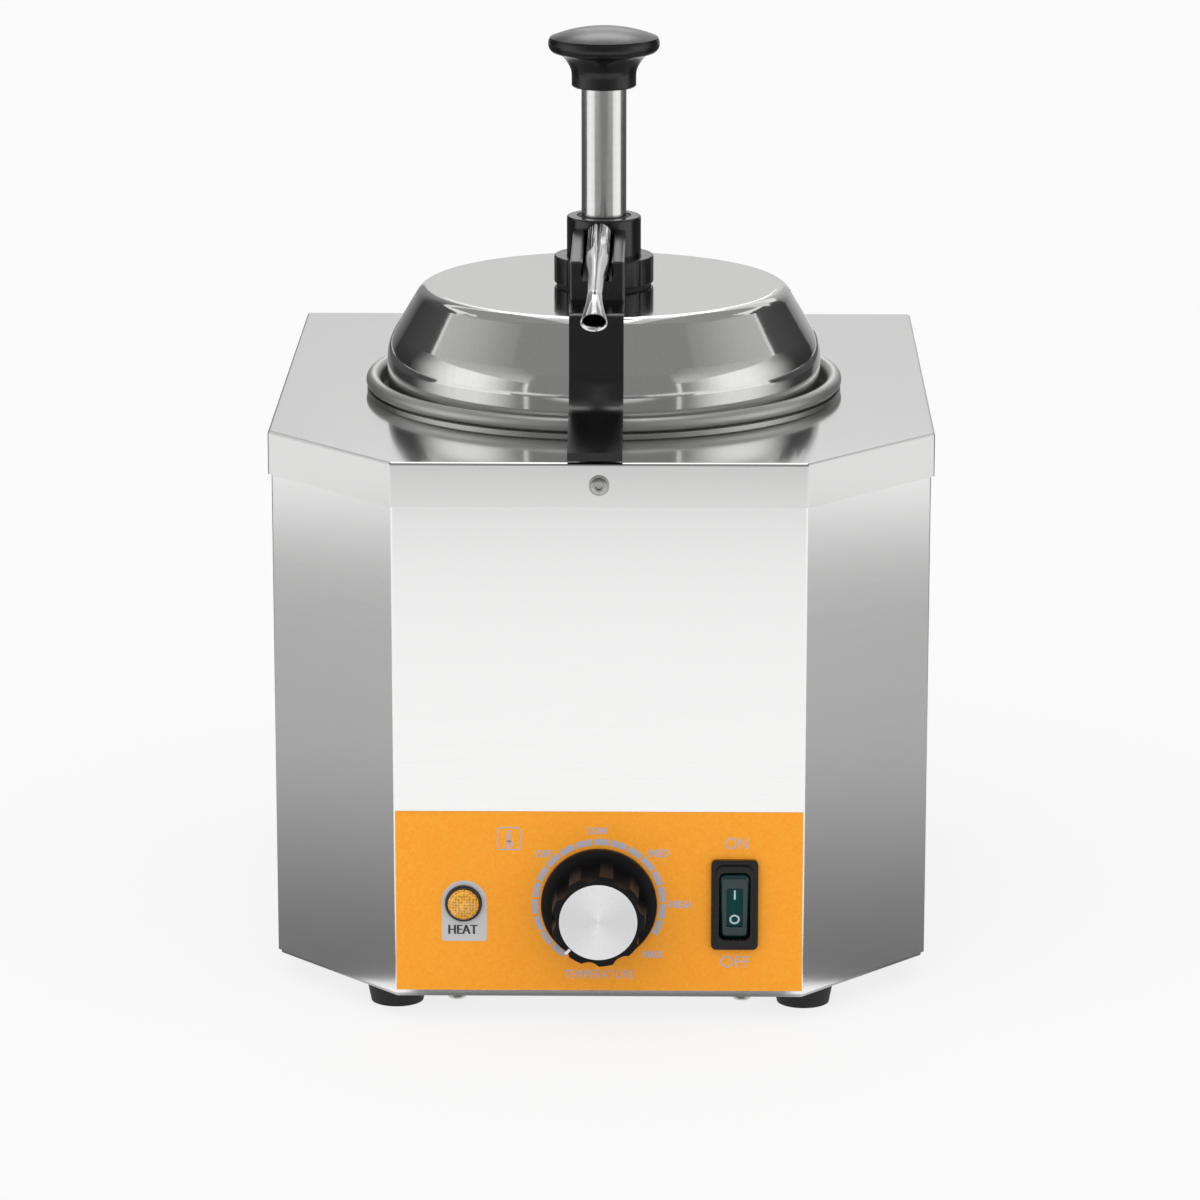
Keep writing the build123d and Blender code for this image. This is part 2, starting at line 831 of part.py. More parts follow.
def make_lid():
    """The spun steel lid: flat plateau, sloping shoulder and a skirt that stands on the jar's ledge."""
    hole = barrel_outer_radius + hole_play
    section = bent_sheet(
        [
            (hole, lid_top_z), (lid_plateau_radius, lid_top_z), (lid_skirt_radius, lid_shoulder_z),
            (lid_skirt_radius, jar_ledge_z + lid_seat_gap),
        ],
        [lid_crown_bend, lid_shoulder_bend],
        lid_sheet,
        Side.RIGHT,
    )
    return spun(section)


def make_pump_barrel():
    """The pump's long tube, with a flange under the lid and a port for the spout at the top."""
    flange_z = lid_top_z - lid_sheet - barrel_flange_thick
    barrel = disc(barrel_outer_radius, barrel_top_z - barrel_bottom_z, barrel_bottom_z)
    barrel += disc(barrel_flange_radius, barrel_flange_thick, flange_z)
    barrel -= disc(barrel_inner_radius, barrel_top_z)
    barrel -= facing_front(arm_offset, 0, spout_z) * disc(spout_waist_radius, collar_radius)
    return over_jar(0) * barrel


def make_lid_gasket():
    """A flat ring between the lid and the ring nut."""
    return over_jar(lid_top_z) * tube(lid_gasket_radius, barrel_outer_radius, gasket_thick)


def make_ring_nut():
    """The black nut that clamps the barrel to the lid, with shallow grip flutes."""
    nut = disc(ring_nut_radius, ring_nut_height)
    nut = fillet(nut.edges().filter_by(GeomType.CIRCLE), ring_nut_edge)
    flute = Pos(ring_nut_radius + ring_nut_flute_out, 0, 0) * disc(ring_nut_flute_radius, ring_nut_height)
    nut -= [Rot(0, 0, 360 * (n + 0.5) / ring_nut_flutes) * flute for n in range(ring_nut_flutes)]
    nut -= disc(barrel_outer_radius, ring_nut_height)
    return over_jar(ring_nut_bottom_z) * nut


def arm_profile():
    """The arm's side view in the Y and Z plane, from the collar to the tip over the deck's edge."""
    under_z = lid_top_z + arm_lid_gap
    inner_y = arm_front_y + arm_thick
    tip_under_z = arm_tip_z - arm_tip_thick
    shelf = (arm_front_y + arm_shelf_depth, arm_prong_bottom_z)
    top = Polyline(
        (jar_centre_y, under_z), (jar_centre_y, arm_top_z), (arm_prong_end_y, arm_top_z),
        (arm_prong_end_y - arm_draft, arm_prong_bottom_z), shelf,
    )
    front = FilletPolyline(
        shelf, (arm_front_y, arm_prong_bottom_z - arm_shelf_drop),
        (arm_front_y - arm_draft, arm_tip_z + arm_tip_rise), (arm_tip_y, arm_tip_z),
        radius=[arm_shelf_bend, arm_bend],
    )
    tip = Line((arm_tip_y, arm_tip_z), (arm_tip_y, tip_under_z))
    inside = FilletPolyline(
        (arm_tip_y, tip_under_z), (inner_y - arm_draft, tip_under_z + arm_tip_rise), (inner_y, under_z),
        (jar_centre_y, under_z), radius=[arm_bend + arm_thick, arm_heel_bend],
    )
    return make_face([*top.edges(), *front.edges(), tip, *inside.edges()])


def make_collar_arm():
    """The black collar around the barrel's top, moulded in one with the forked arm over the lid."""
    collar = disc(collar_radius, collar_top_z - collar_bottom_z, collar_bottom_z)
    collar = fillet(collar.edges().filter_by(GeomType.CIRCLE).sort_by(Axis.Z)[-1], collar_edge)
    collar = over_jar(0) * collar
    arm = extrude(Plane.YZ * arm_profile(), arm_width / 2, both=True)
    half_panel = arm_width / 2 - arm_border
    panel_low = (-half_panel, arm_tip_y + arm_border, arm_tip_z - arm_tip_thick)
    panel = block(panel_low, (half_panel, arm_front_y + arm_thick / 2, arm_panel_top_z))
    arm -= panel - Pos(0, arm_panel_depth, -arm_panel_depth) * arm
    nut_front_y = jar_centre_y - ring_nut_radius - arm_nut_gap
    arm -= block((-arm_width, nut_front_y, lid_top_z), (arm_width, arm_width, collar_bottom_z))
    half_slot, slot_floor_z = arm_slot_width / 2, spout_z - spout_root_radius - arm_slot_gap
    slot_end_y = arm_prong_end_y - 2 * arm_width
    arm -= block((-half_slot, slot_end_y, slot_floor_z), (half_slot, 0, arm_top_z + overcut))
    rims = arm.edges().filter_by_position(Axis.Z, arm_top_z, arm_top_z)
    low_y, high_y = arm_prong_end_y - arm_draft, arm_prong_end_y
    ends = arm.edges().filter_by_position(Axis.Y, low_y, high_y, (False, False))
    arm = chamfer(rims + ends.filter_by(Axis.X, reverse=True), arm_prong_edge)
    piece = collar + Pos(arm_offset, 0, 0) * arm
    piece -= over_jar(0) * disc(barrel_outer_radius, barrel_top_z)
    piece -= over_jar(0) * disc(wiper_radius, collar_top_z + overcut)
    piece -= facing_front(arm_offset, jar_centre_y, spout_z) * disc(spout_root_radius, 3 * collar_radius)
    return piece


def make_wiper():
    """The rubber ring that wipes the plunger at the collar's mouth."""
    height = collar_top_z - barrel_top_z - wiper_set_back
    return over_jar(barrel_top_z) * tube(wiper_radius, plunger_radius + running_gap, height)


def spout_body(wall):
    """The spout drawn in by a wall: a turned straight part and a bend that flares to the mouth."""
    root_y = jar_centre_y - barrel_outer_radius / 2
    tilt = radians(spout_mouth_tilt)
    neck_y = (spout_root_end_y + spout_waist_y) / 2
    root, waist, mouth = spout_root_radius - wall, spout_waist_radius - wall, spout_mouth_radius - wall
    start = waist + spout_bend_growth
    taper = Spline(
        (root, -spout_root_end_y), (waist + spout_neck_growth, -neck_y), (waist, -spout_waist_y),
        (start, -spout_bend_y), tangents=[(0, 1), (spout_bend_slope, 1)],
    )
    ends = Polyline(
        (start, -spout_bend_y), (0, -spout_bend_y), (0, -root_y), (root, -root_y), (root, -spout_root_end_y)
    )
    section = make_face([taper, *ends.edges()])
    straight = facing_front(arm_offset, 0, spout_z) * revolve(Plane.XZ * section, Axis.Z)
    circles = []
    for n in range(spout_bend_steps + 1):
        share = n / spout_bend_steps
        angle = tilt * share
        y = spout_bend_y - spout_bend_radius * sin(angle)
        z = spout_z - spout_bend_radius * (1 - cos(angle))
        radius = start + (mouth - start) * share**spout_flare_power
        circles.append(Pos(arm_offset, y, z) * Rot(90 + degrees(angle), 0, 0) * Circle(radius))
    return straight, loft(circles)


def make_spout():
    """The chromed spout: a thick root, a slim waist and a flared mouth that bends down at the front."""
    outer, outer_bend = spout_body(0)
    inner, inner_bend = spout_body(spout_wall)
    pipe = (outer - inner) + (outer_bend - inner_bend)
    return pipe - over_jar(0) * disc(barrel_outer_radius, collar_top_z)


def make_valve_body():
    """The foot valve: an inlet, a cone seat and a chamber for the ball, pressed into the barrel."""
    body = disc(valve_radius, valve_height, valve_bottom_z)
    body = fillet(body.edges().filter_by(GeomType.CIRCLE).sort_by(Axis.Z)[0], valve_edge)
    body += disc(barrel_inner_radius, valve_spigot_height, barrel_bottom_z)
    body -= turned(
        [
            (0, valve_bottom_z - overcut), (inlet_radius, valve_bottom_z - overcut),
            (inlet_radius, inlet_seat_z), (inlet_chamber, inlet_seat_z + inlet_chamber - inlet_radius),
            (inlet_chamber, spigot_top_z + overcut), (0, spigot_top_z + overcut),
        ]
    )
    return over_jar(0) * (body - Pos(0, 0, ball_pin_z) * crosswise(ball_pin_radius, 2 * valve_radius))


def make_ball_pin():
    """The cross pin that keeps the inlet ball in its chamber."""
    return over_jar(ball_pin_z) * crosswise(ball_pin_radius, 2 * (barrel_inner_radius - pin_set_back))


def make_inlet_ball():
    """The ball on the foot valve's seat."""
    return over_jar(ball_z) * Sphere(ball_radius)


def make_plunger_tube():
    """The polished plunger tube, from the knob down to the piston, with two side windows."""
    body = tube(plunger_radius, tube_inner_radius, tube_top_z - piston_top_z, piston_top_z)
    window = extrude(SlotOverall(window_length, window_width), plunger_radius + overcut, both=True)
    body -= Pos(0, 0, piston_top_z + window_rise) * Rot(0, 90, 0) * window
    pin_hole = crosswise(ball_pin_radius, 2 * (plunger_radius + overcut))
    body -= Pos(0, 0, outlet_pin_z) * Rot(0, 0, 90) * pin_hole
    return over_jar(0) * body


def make_outlet_pin():
    """The cross pin above the outlet ball."""
    pin = crosswise(ball_pin_radius, 2 * (plunger_radius - pin_set_back))
    return over_jar(outlet_pin_z) * Rot(0, 0, 90) * pin


def make_outlet_ball():
    """The ball on the piston's seat."""
    return over_jar(outlet_ball_z) * Sphere(outlet_ball_radius)


def make_piston():
    """The piston on the plunger's foot, with a groove for its seal and a seat for the outlet ball."""
    radius = barrel_inner_radius - piston_gap
    groove = radius - seal_depth
    cone_top_z = outlet_seat_z + outlet_chamber - piston_bore_radius
    piston = turned(
        [
            (piston_bore_radius, piston_z), (radius, piston_z), (radius, seal_z), (groove, seal_z),
            (groove, seal_z + seal_height), (radius, seal_z + seal_height), (radius, piston_top_z),
            (tube_inner_radius, piston_top_z), (tube_inner_radius, cone_top_z), (outlet_chamber, cone_top_z),
            (piston_bore_radius, outlet_seat_z),
        ]
    )
    return over_jar(0) * piston


def make_piston_seal():
    """The rubber ring in the piston's groove."""
    groove = barrel_inner_radius - piston_gap - seal_depth
    return over_jar(seal_z) * tube(barrel_inner_radius - seal_gap, groove, seal_height)


def make_spring():
    """The return spring between the foot valve and the piston."""
    radius = barrel_inner_radius - 2 * spring_wire_radius
    low = spigot_top_z + 2 * spring_wire_radius
    height = piston_z - 2 * spring_wire_radius - low
    coil = Helix(height / spring_turns, height, radius)
    wire = Plane(origin=coil @ 0, z_dir=coil % 0) * Circle(spring_wire_radius)
    return over_jar(low) * sweep(wire, path=coil, is_frenet=True)


def make_pump_knob():
    """The turned black knob: domed top, thin rim, waisted neck and a socket for the plunger."""
    shoulder = (knob_shoulder_radius, knob_top_z - knob_shoulder_drop)
    lip = (knob_lip_radius, knob_top_z - knob_lip_drop)
    ledge = (knob_ledge_radius, knob_top_z - knob_ledge_drop)
    waist = (knob_neck_radius, knob_top_z - knob_neck_drop)
    dome_radius = (knob_shoulder_radius**2 + knob_shoulder_drop**2) / (2 * knob_shoulder_drop)
    dome = RadiusArc((knob_gate_radius, knob_top_z), shoulder, dome_radius)
    rim = ThreePointArc(shoulder, (knob_radius, knob_top_z - knob_rim_drop), lip)
    under = Line(lip, ledge)
    neck = Spline(
        ledge, (knob_throat_radius, knob_top_z - knob_throat_drop), waist, tangents=[(-2, -1), (0, -1)]
    )
    sides = Polyline(
        waist, (knob_neck_radius, knob_bottom_z + knob_foot_edge),
        (knob_neck_radius - knob_foot_edge, knob_bottom_z), (plunger_radius, knob_bottom_z),
        (plunger_radius, tube_top_z), (0, tube_top_z), (0, knob_top_z), (knob_gate_radius, knob_top_z),
    )
    section = make_face([dome, rim, under, neck, *sides.edges()])
    return over_jar(0) * revolve(Plane.XZ * section, Axis.Z)


def make_dial():
    """The fluted dial on the thermostat's shaft, hollow behind, with a recess for its cap."""
    body = disc(dial_skirt_radius, dial_skirt_thick)
    body = fillet(body.edges().filter_by(GeomType.CIRCLE).sort_by(Axis.Z)[-1], dial_skirt_edge)
    grip = upright_cone(dial_grip_radius + dial_grip_draft, dial_grip_radius, dial_length)
    body += fillet(grip.edges().filter_by(GeomType.CIRCLE).sort_by(Axis.Z)[-1], dial_grip_edge)
    flute = disc(dial_flute_radius, dial_length, dial_skirt_thick + dial_flute_rise)
    flute = Pos(dial_flute_pitch_radius, 0, 0) * flute
    body -= [Rot(0, 0, 360 * (n + 0.5) / dial_flutes) * flute for n in range(dial_flutes)]
    body -= disc(dial_cap_radius, dial_cap_thick, dial_length - dial_cap_thick)
    hub = shaft_radius + dial_wall
    body -= tube(dial_grip_radius - dial_wall, hub, dial_hollow_depth + overcut, -overcut)
    body -= tube(dial_skirt_radius - dial_wall, hub, dial_skirt_hollow + overcut, -overcut)
    body -= disc(shaft_radius, dial_socket_depth + overcut, -overcut)
    return dial_place * body


def make_dial_cap():
    """The spun aluminium disc let into the dial's face."""
    return dial_place * disc(dial_cap_radius, dial_cap_thick, dial_length - dial_cap_thick)


def make_thermostat_shaft():
    """The shaft that the dial turns."""
    back = dial_gap + overlay_thick + sheet + thermostat_bore_depth - shaft_end_gap
    return dial_place * disc(shaft_radius, back + dial_socket_depth - shaft_end_gap, -back)


def make_thermostat():
    """The capillary thermostat behind the panel, with its nose through the panel and its terminals."""
    half_x, half_y = thermostat_width / 2, thermostat_height / 2
    body = block((-half_x, -half_y, -thermostat_depth), (half_x, half_y, 0))
    body = fillet(body.edges().filter_by(Axis.Z), thermostat_corner)
    body += disc(thermostat_nose_radius, sheet + overlay_thick)
    body -= disc(shaft_radius + running_gap, thermostat_bore_depth + dial_length, -thermostat_bore_depth)
    body -= [Pos(x, 0, 0) * Cylinder(screw_radius, 2 * thermostat_hole_depth) for x in thermostat_screw_xs()]
    tab = hanging_tab(tab_width, tab_thick, tab_length)
    body += [Pos(side * thermostat_tab_x, -thermostat_tab_drop, -thermostat_depth) * tab for side in (-1, 1)]
    return on_panel(0, panel_back_y) * body


def make_thermostat_screws():
    """Two flat-headed screws under the dial's skirt that hold the thermostat to the panel."""
    length = overlay_thick + sheet + thermostat_screw_bite
    screw = disc(pan_head_radius, flat_head_thick) + disc(screw_radius, length, -length)
    screw -= Pos(0, 0, flat_head_thick) * Box(2 * pan_head_radius, recess_width, recess_depth)
    return [on_panel(x, panel_front_y) * screw for x in thermostat_screw_xs()]


def make_capillary():
    """The thermostat's sensing bulb under the well floor and the thin tube that joins it."""
    bulb_z = well_floor_z - bulb_radius
    end_x = bulb_length / 2
    back_y = panel_back_y + thermostat_depth
    bulb = Pos(0, bulb_y, bulb_z) * Rot(0, 90, 0) * Cylinder(bulb_radius, bulb_length)
    route = FilletPolyline(
        (end_x, bulb_y, bulb_z), (end_x + 16, bulb_y, bulb_z), (end_x + 10, -76, 40), (10, -92, 40),
        (0, back_y + 14, 52), (0, back_y, 52), radius=[7, 9, 9, 6],
    )
    start = Plane(origin=route @ 0, z_dir=route % 0) * Circle(capillary_radius)
    return bulb + sweep(start, path=route)


def make_bulb_clips():
    """Two spring clips that hold the sensing bulb against the well floor."""
    section = Circle(bulb_radius + clip_thick)
    section += Pos(0, bulb_radius - clip_thick / 2) * Rectangle(2 * clip_reach, clip_thick)
    section -= Circle(bulb_radius)
    section -= Pos(0, 2 * bulb_radius) * Rectangle(2 * clip_opening, 3 * bulb_radius)
    clip = extrude(Plane.YZ * section, clip_width / 2, both=True)
    bulb_z = well_floor_z - bulb_radius
    return [Pos(side * clip_x, bulb_y, bulb_z) * clip for side in (-1, 1)]


def make_thermal_cutout():
    """The boil-dry cutout: a disc thermostat on the underside of the well floor."""
    tab = hanging_tab(tab_thick, cutout_tab_width, cutout_tab_length)
    body = disc(cutout_radius, cutout_height)
    body += [Pos(side * cutout_tab_x, 0, 0) * tab for side in (-1, 1)]
    return Pos(cutout_x, cutout_y, well_floor_z - cutout_height) * body


def make_cutout_strap():
    """The strap that holds the cutout up against the floor."""
    inner = cutout_radius + strap_gap
    outer, half = inner + clip_thick, strap_width / 2
    rim = -cutout_height - clip_thick
    strap = block((-half, -outer, rim), (half, outer, 0))
    strap -= block((-strap_width, -inner, rim + clip_thick), (strap_width, inner, 0))
    ear = block((-half, inner, -clip_thick), (half, outer + strap_ear, 0))
    return Pos(cutout_x, cutout_y, well_floor_z) * (strap + ear + Rot(0, 0, 180) * ear)


def make_lamp_bezel():
    """The dark ring of the heat lamp, with its barrel through the panel."""
    body = disc(lamp_bezel_radius, lamp_bezel_thick)
    body = fillet(body.edges().filter_by(GeomType.CIRCLE).sort_by(Axis.Z)[-1], lamp_bezel_edge)
    body += disc(lamp_barrel_radius, lamp_barrel_length, -lamp_barrel_length)
    body -= disc(lamp_barrel_radius - lamp_wall, lamp_bulb_room, -lamp_bulb_room)
    body -= disc(lamp_lens_radius, lamp_bezel_thick, lamp_lens_seat)
    tab = hanging_tab(tab_thick, lamp_tab_width, lamp_tab_length)
    body += [Pos(side * lamp_tab_x, 0, -lamp_barrel_length) * tab for side in (-1, 1)]
    return on_panel(lamp_x, panel_front_y) * body


def make_lamp_lens():
    """The amber lens: a shallow faceted dome in the bezel."""
    lens = upright_cone(lamp_lens_radius, lamp_lens_tip, lamp_lens_height)
    facets = RegularPolygon(lamp_lens_radius - lamp_lens_facet, lamp_lens_sides, major_radius=False)
    lens = lens & extrude(facets, lamp_lens_height)
    return on_panel(lamp_x, panel_front_y) * Pos(0, 0, lamp_lens_seat) * lens


def make_lamp_bulb():
    """The small neon bulb inside the barrel."""
    bulb = disc(lamp_bulb_radius, lamp_bulb_length, -lamp_bulb_room)
    bulb = fillet(bulb.edges().filter_by(GeomType.CIRCLE).sort_by(Axis.Z)[-1], lamp_bulb_tip)
    return on_panel(lamp_x, panel_front_y) * bulb


def make_lamp_nut():
    """The nut that clamps the lamp to the back of the panel."""
    nut = tube(lamp_nut_radius, lamp_barrel_radius, lamp_nut_thick, -lamp_nut_thick)
    return on_panel(lamp_x, panel_back_y) * nut


def make_switch_frame():
    """The switch's stepped black frame and the body that passes through the panel."""
    step_width, step_height = switch_width - 2 * switch_step_inset, switch_height - 2 * switch_step_inset
    frame = extrude(RectangleRounded(switch_width, switch_height, switch_corner), switch_frame_thick)
    frame = fillet(frame.faces().sort_by(Axis.Z)[-1].edges(), switch_edge)
    step = extrude(RectangleRounded(step_width, step_height, switch_step_corner), switch_step)
    frame += Pos(0, 0, switch_frame_thick) * step
    frame += Pos(0, 0, -switch_body_depth / 2) * Box(switch_body_width, switch_body_height, switch_body_depth)
    opening = RectangleRounded(
        boot_width + 2 * boot_gap, boot_height + 2 * boot_gap, boot_corner + boot_gap
    )
    frame -= Pos(0, 0, -switch_well_depth) * extrude(opening, switch_body_depth)
    tab = hanging_tab(tab_width, tab_thick, tab_length)
    frame += [Pos(0, n * switch_tab_pitch, -switch_body_depth) * tab for n in (-1, 0, 1)]
    frame -= crosswise(rocker_pivot_radius + running_gap, 2 * (rocker_pivot_reach + running_gap))
    return on_panel(switch_x, panel_front_y) * frame


def make_switch_boot():
    """The soft translucent cover over the rocker, which tips with it, shown in the OFF position."""
    cover = extrude(RectangleRounded(boot_width, boot_height, boot_corner), boot_thick)
    cover = Pos(0, 0, -boot_depth) * cover
    cover = fillet(cover.faces().sort_by(Axis.Z)[-1].edges(), boot_edge)
    pocket = RectangleRounded(rocker_face_width + boot_play, rocker_face_height + boot_play, rocker_corner)
    cover -= extrude(pocket, boot_thick, both=True)
    return rocker_place * (cover - crosswise(rocker_pivot_radius, boot_width + 2 * overcut))


def make_switch_rocker():
    """The green rocker inside the boot, whose round pivots turn in the sides of the switch body."""
    face = RectangleRounded(rocker_face_width, rocker_face_height, rocker_corner)
    paddle = Pos(0, 0, -boot_depth) * extrude(face, rocker_thick)
    half_x, half_y = rocker_face_width / 2, rocker_stem_height / 2
    stem = block((-half_x, -half_y, -boot_depth - rocker_stem_depth), (half_x, half_y, -boot_depth))
    return rocker_place * (paddle + stem + crosswise(rocker_pivot_radius, 2 * rocker_pivot_reach))


def make_gland_body():
    """The cable gland's threaded body and its hexagon outside the rear panel."""
    inside = sheet + gland_thread_length
    body = disc(gland_thread_radius, inside, -inside)
    body += hexagon(gland_flats, gland_flange_thick)
    body += disc(gland_thread_radius, gland_thread_length, gland_flange_thick)
    return gland_place * (body - disc(gland_seal_radius, 3 * inside, -inside))


def make_gland_dome():
    """The gland's domed outer nut."""
    dome = disc(gland_dome_radius, gland_dome_length, gland_flange_thick)
    dome = fillet(dome.edges().filter_by(GeomType.CIRCLE).sort_by(Axis.Z)[-1], gland_dome_edge)
    dome -= disc(gland_thread_radius, gland_thread_length, gland_flange_thick)
    return gland_place * (dome - disc(gland_mouth_radius, 2 * gland_dome_length))


def make_gland_seal():
    """The gland's rubber insert, bored for the mains lead."""
    return gland_place * tube(gland_seal_radius, gland_bore_radius, gland_seal_length, gland_seal_start)


def make_gland_locknut():
    """The locknut inside the rear panel."""
    low = -sheet - gland_locknut_thick
    nut = hexagon(gland_flats, gland_locknut_thick, low) - disc(gland_thread_radius, gland_locknut_thick, low)
    return gland_place * nut


def terminal_xs():
    """The pitch positions of the terminal block's poles."""
    pitch = terminal_length / terminal_poles
    return [pitch * (n - (terminal_poles - 1) / 2) for n in range(terminal_poles)]


def terminal_screw_places():
    """The tops of the terminal block's screw wells: two for each pole."""
    return [
        Pos(x, terminal_y + side * terminal_screw_offset, shell_bottom_z + terminal_height)
        for x in terminal_xs()
        for side in (-1, 1)
    ]


def make_terminal_block():
    """The mains terminal block on the base plate, with a cable hole and screw well in each pole."""
    body = Pos(0, terminal_y, shell_bottom_z + terminal_height / 2) * Box(
        terminal_length, terminal_width, terminal_height
    )
    bore = Rot(90, 0, 0) * Cylinder(wire_radius + wire_play, terminal_width)
    body -= [Pos(x, terminal_y, pole_z) * bore for x in terminal_xs()]
    well = Cylinder(terminal_well_radius, 2 * terminal_well_depth)
    body -= [place * well for place in terminal_screw_places()]
    return body


def make_terminal_screws():
    """The brass clamp screws in the terminal block."""
    screw = disc(terminal_screw_radius, terminal_screw_length, -terminal_well_depth)
    screw -= Pos(0, 0, terminal_screw_length - terminal_well_depth) * Box(
        3 * terminal_screw_radius, recess_width, 2 * recess_depth
    )
    return [place * screw for place in terminal_screw_places()]


def make_earth_stud():
    """The earthing stud in the base plate, which carries two nuts."""
    stud = disc(screw_radius, earth_stud_length) + disc(pan_head_radius, earth_head_thick, -earth_head_thick)
    return Pos(earth_x, earth_y, foot_height) * stud


def make_wiring():
    """The insulated leads that join the switch, thermostat, lamp, cutout, heater and terminal block."""
    block_y = terminal_y - terminal_width / 2 + wire_bite
    left, middle, right = terminal_xs()
    switch_y = panel_front_y + switch_body_depth + tab_length
    lamp_y = panel_front_y + lamp_barrel_length + lamp_tab_length
    dial_y = panel_back_y + thermostat_depth + tab_length
    dial_z = controls_z - thermostat_tab_drop
    switch_low_z = controls_z - switch_tab_pitch
    cutout_z = well_floor_z - cutout_height - cutout_tab_length
    cutout_left, cutout_right = cutout_x - cutout_tab_x, cutout_x + cutout_tab_x
    lamp_tab_left = lamp_x - lamp_tab_x
    (leg_a_x, leg_a_y), (leg_b_x, leg_b_y) = element_legs()
    tail = element_tail_z - terminal_pin_length
    routes = [
        [(right, block_y, pole_z), (right, block_y - 14, pole_z), (58, 40, 22), (60, -40, 22),
         (switch_x, switch_y + 14, switch_low_z), (switch_x, switch_y, switch_low_z)],
        [(switch_x, switch_y, controls_z), (switch_x, switch_y + 12, controls_z), (30, -94, 30),
         (thermostat_tab_x, dial_y + 10, dial_z), (thermostat_tab_x, dial_y, dial_z)],
        [(-thermostat_tab_x, dial_y, dial_z), (-thermostat_tab_x, dial_y + 12, dial_z), (-20, -50, 30),
         (cutout_right, cutout_y, 24), (cutout_right, cutout_y, cutout_z)],
        [(cutout_left, cutout_y, cutout_z), (cutout_left, cutout_y, 26), (-30, 30, 24),
         (leg_a_x, leg_a_y, 24), (leg_a_x, leg_a_y, tail)],
        [(leg_b_x, leg_b_y, tail), (leg_b_x, leg_b_y, 24), (left + 22, 80, 20),
         (middle, block_y - 12, pole_z), (middle, block_y, pole_z)],
        [(lamp_tab_left, lamp_y, controls_z), (lamp_tab_left, lamp_y + 14, controls_z), (-62, -40, 22),
         (-58, 40, 22), (left, block_y - 14, pole_z), (left, block_y, pole_z)],
    ]
    wires = []
    for points in routes:
        path = FilletPolyline(*points, radius=wire_bend)
        start = Plane(origin=path @ 0, z_dir=path % 0) * Circle(wire_radius)
        wires.append(sweep(start, path=path))
    return wires


PIECES = {
    "top_deck": make_top_deck,
    "body_shell": make_body_shell,
    "base_plate": make_base_plate,
    "rear_panel": make_rear_panel,
    "control_overlay": make_overlay,
    "rubber_feet": make_feet,
    "foot_screws": make_foot_screws,
    "base_screws": make_base_screws,
    "deck_screws": make_deck_screws,
    "deck_washers": make_deck_washers,
    "rear_screws": make_rear_screws,
    "m4_nuts": make_nuts,
    "water_well": make_water_well,
    "heating_element": make_heating_element,
    "element_bushings": make_element_bushings,
    "element_gaskets": make_element_gaskets,
    "element_nuts": make_element_nuts,
    "topping_jar": make_jar,
    "lid": make_lid,
    "pump_barrel": make_pump_barrel,
    "lid_gasket": make_lid_gasket,
    "ring_nut": make_ring_nut,
    "collar_arm": make_collar_arm,
    "wiper_ring": make_wiper,
    "spout": make_spout,
    "valve_body": make_valve_body,
    "ball_pin": make_ball_pin,
    "inlet_ball": make_inlet_ball,
    "plunger_tube": make_plunger_tube,
    "outlet_pin": make_outlet_pin,
    "outlet_ball": make_outlet_ball,
    "piston": make_piston,
    "piston_seal": make_piston_seal,
    "return_spring": make_spring,
    "pump_knob": make_pump_knob,
    "temperature_dial": make_dial,
    "dial_cap": make_dial_cap,
    "thermostat_shaft": make_thermostat_shaft,
    "thermostat": make_thermostat,
    "thermostat_screws": make_thermostat_screws,
    "capillary_bulb": make_capillary,
    "bulb_clips": make_bulb_clips,
    "thermal_cutout": make_thermal_cutout,
    "cutout_strap": make_cutout_strap,
    "lamp_bezel": make_lamp_bezel,
    "lamp_lens": make_lamp_lens,
    "lamp_bulb": make_lamp_bulb,
    "lamp_nut": make_lamp_nut,
    "switch_frame": make_switch_frame,
    "switch_boot": make_switch_boot,
    "switch_rocker": make_switch_rocker,
    "gland_body": make_gland_body,
    "gland_dome": make_gland_dome,
    "gland_seal": make_gland_seal,
    "gland_locknut": make_gland_locknut,
    "terminal_block": make_terminal_block,
    "terminal_screws": make_terminal_screws,
    "earth_stud": make_earth_stud,
    "wiring": make_wiring,
}

os.makedirs("parts", exist_ok=True)
for name, make in PIECES.items():
    made = make()
    solids = [s for piece in (made if isinstance(made, list) else [made]) for s in piece.solids()]
    shape = solids[0] if len(solids) == 1 else Compound(solids)
    export_step(shape, f"parts/{name}.step")
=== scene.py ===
# The looks of a countertop hot fudge topping warmer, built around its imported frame.
# Metres, +Z up, the front towards -Y, the origin on the plane of the feet.
import json
from math import cos, pi, radians, sin

import bpy
from mathutils import Matrix, Vector
from mathutils.bvhtree import BVHTree

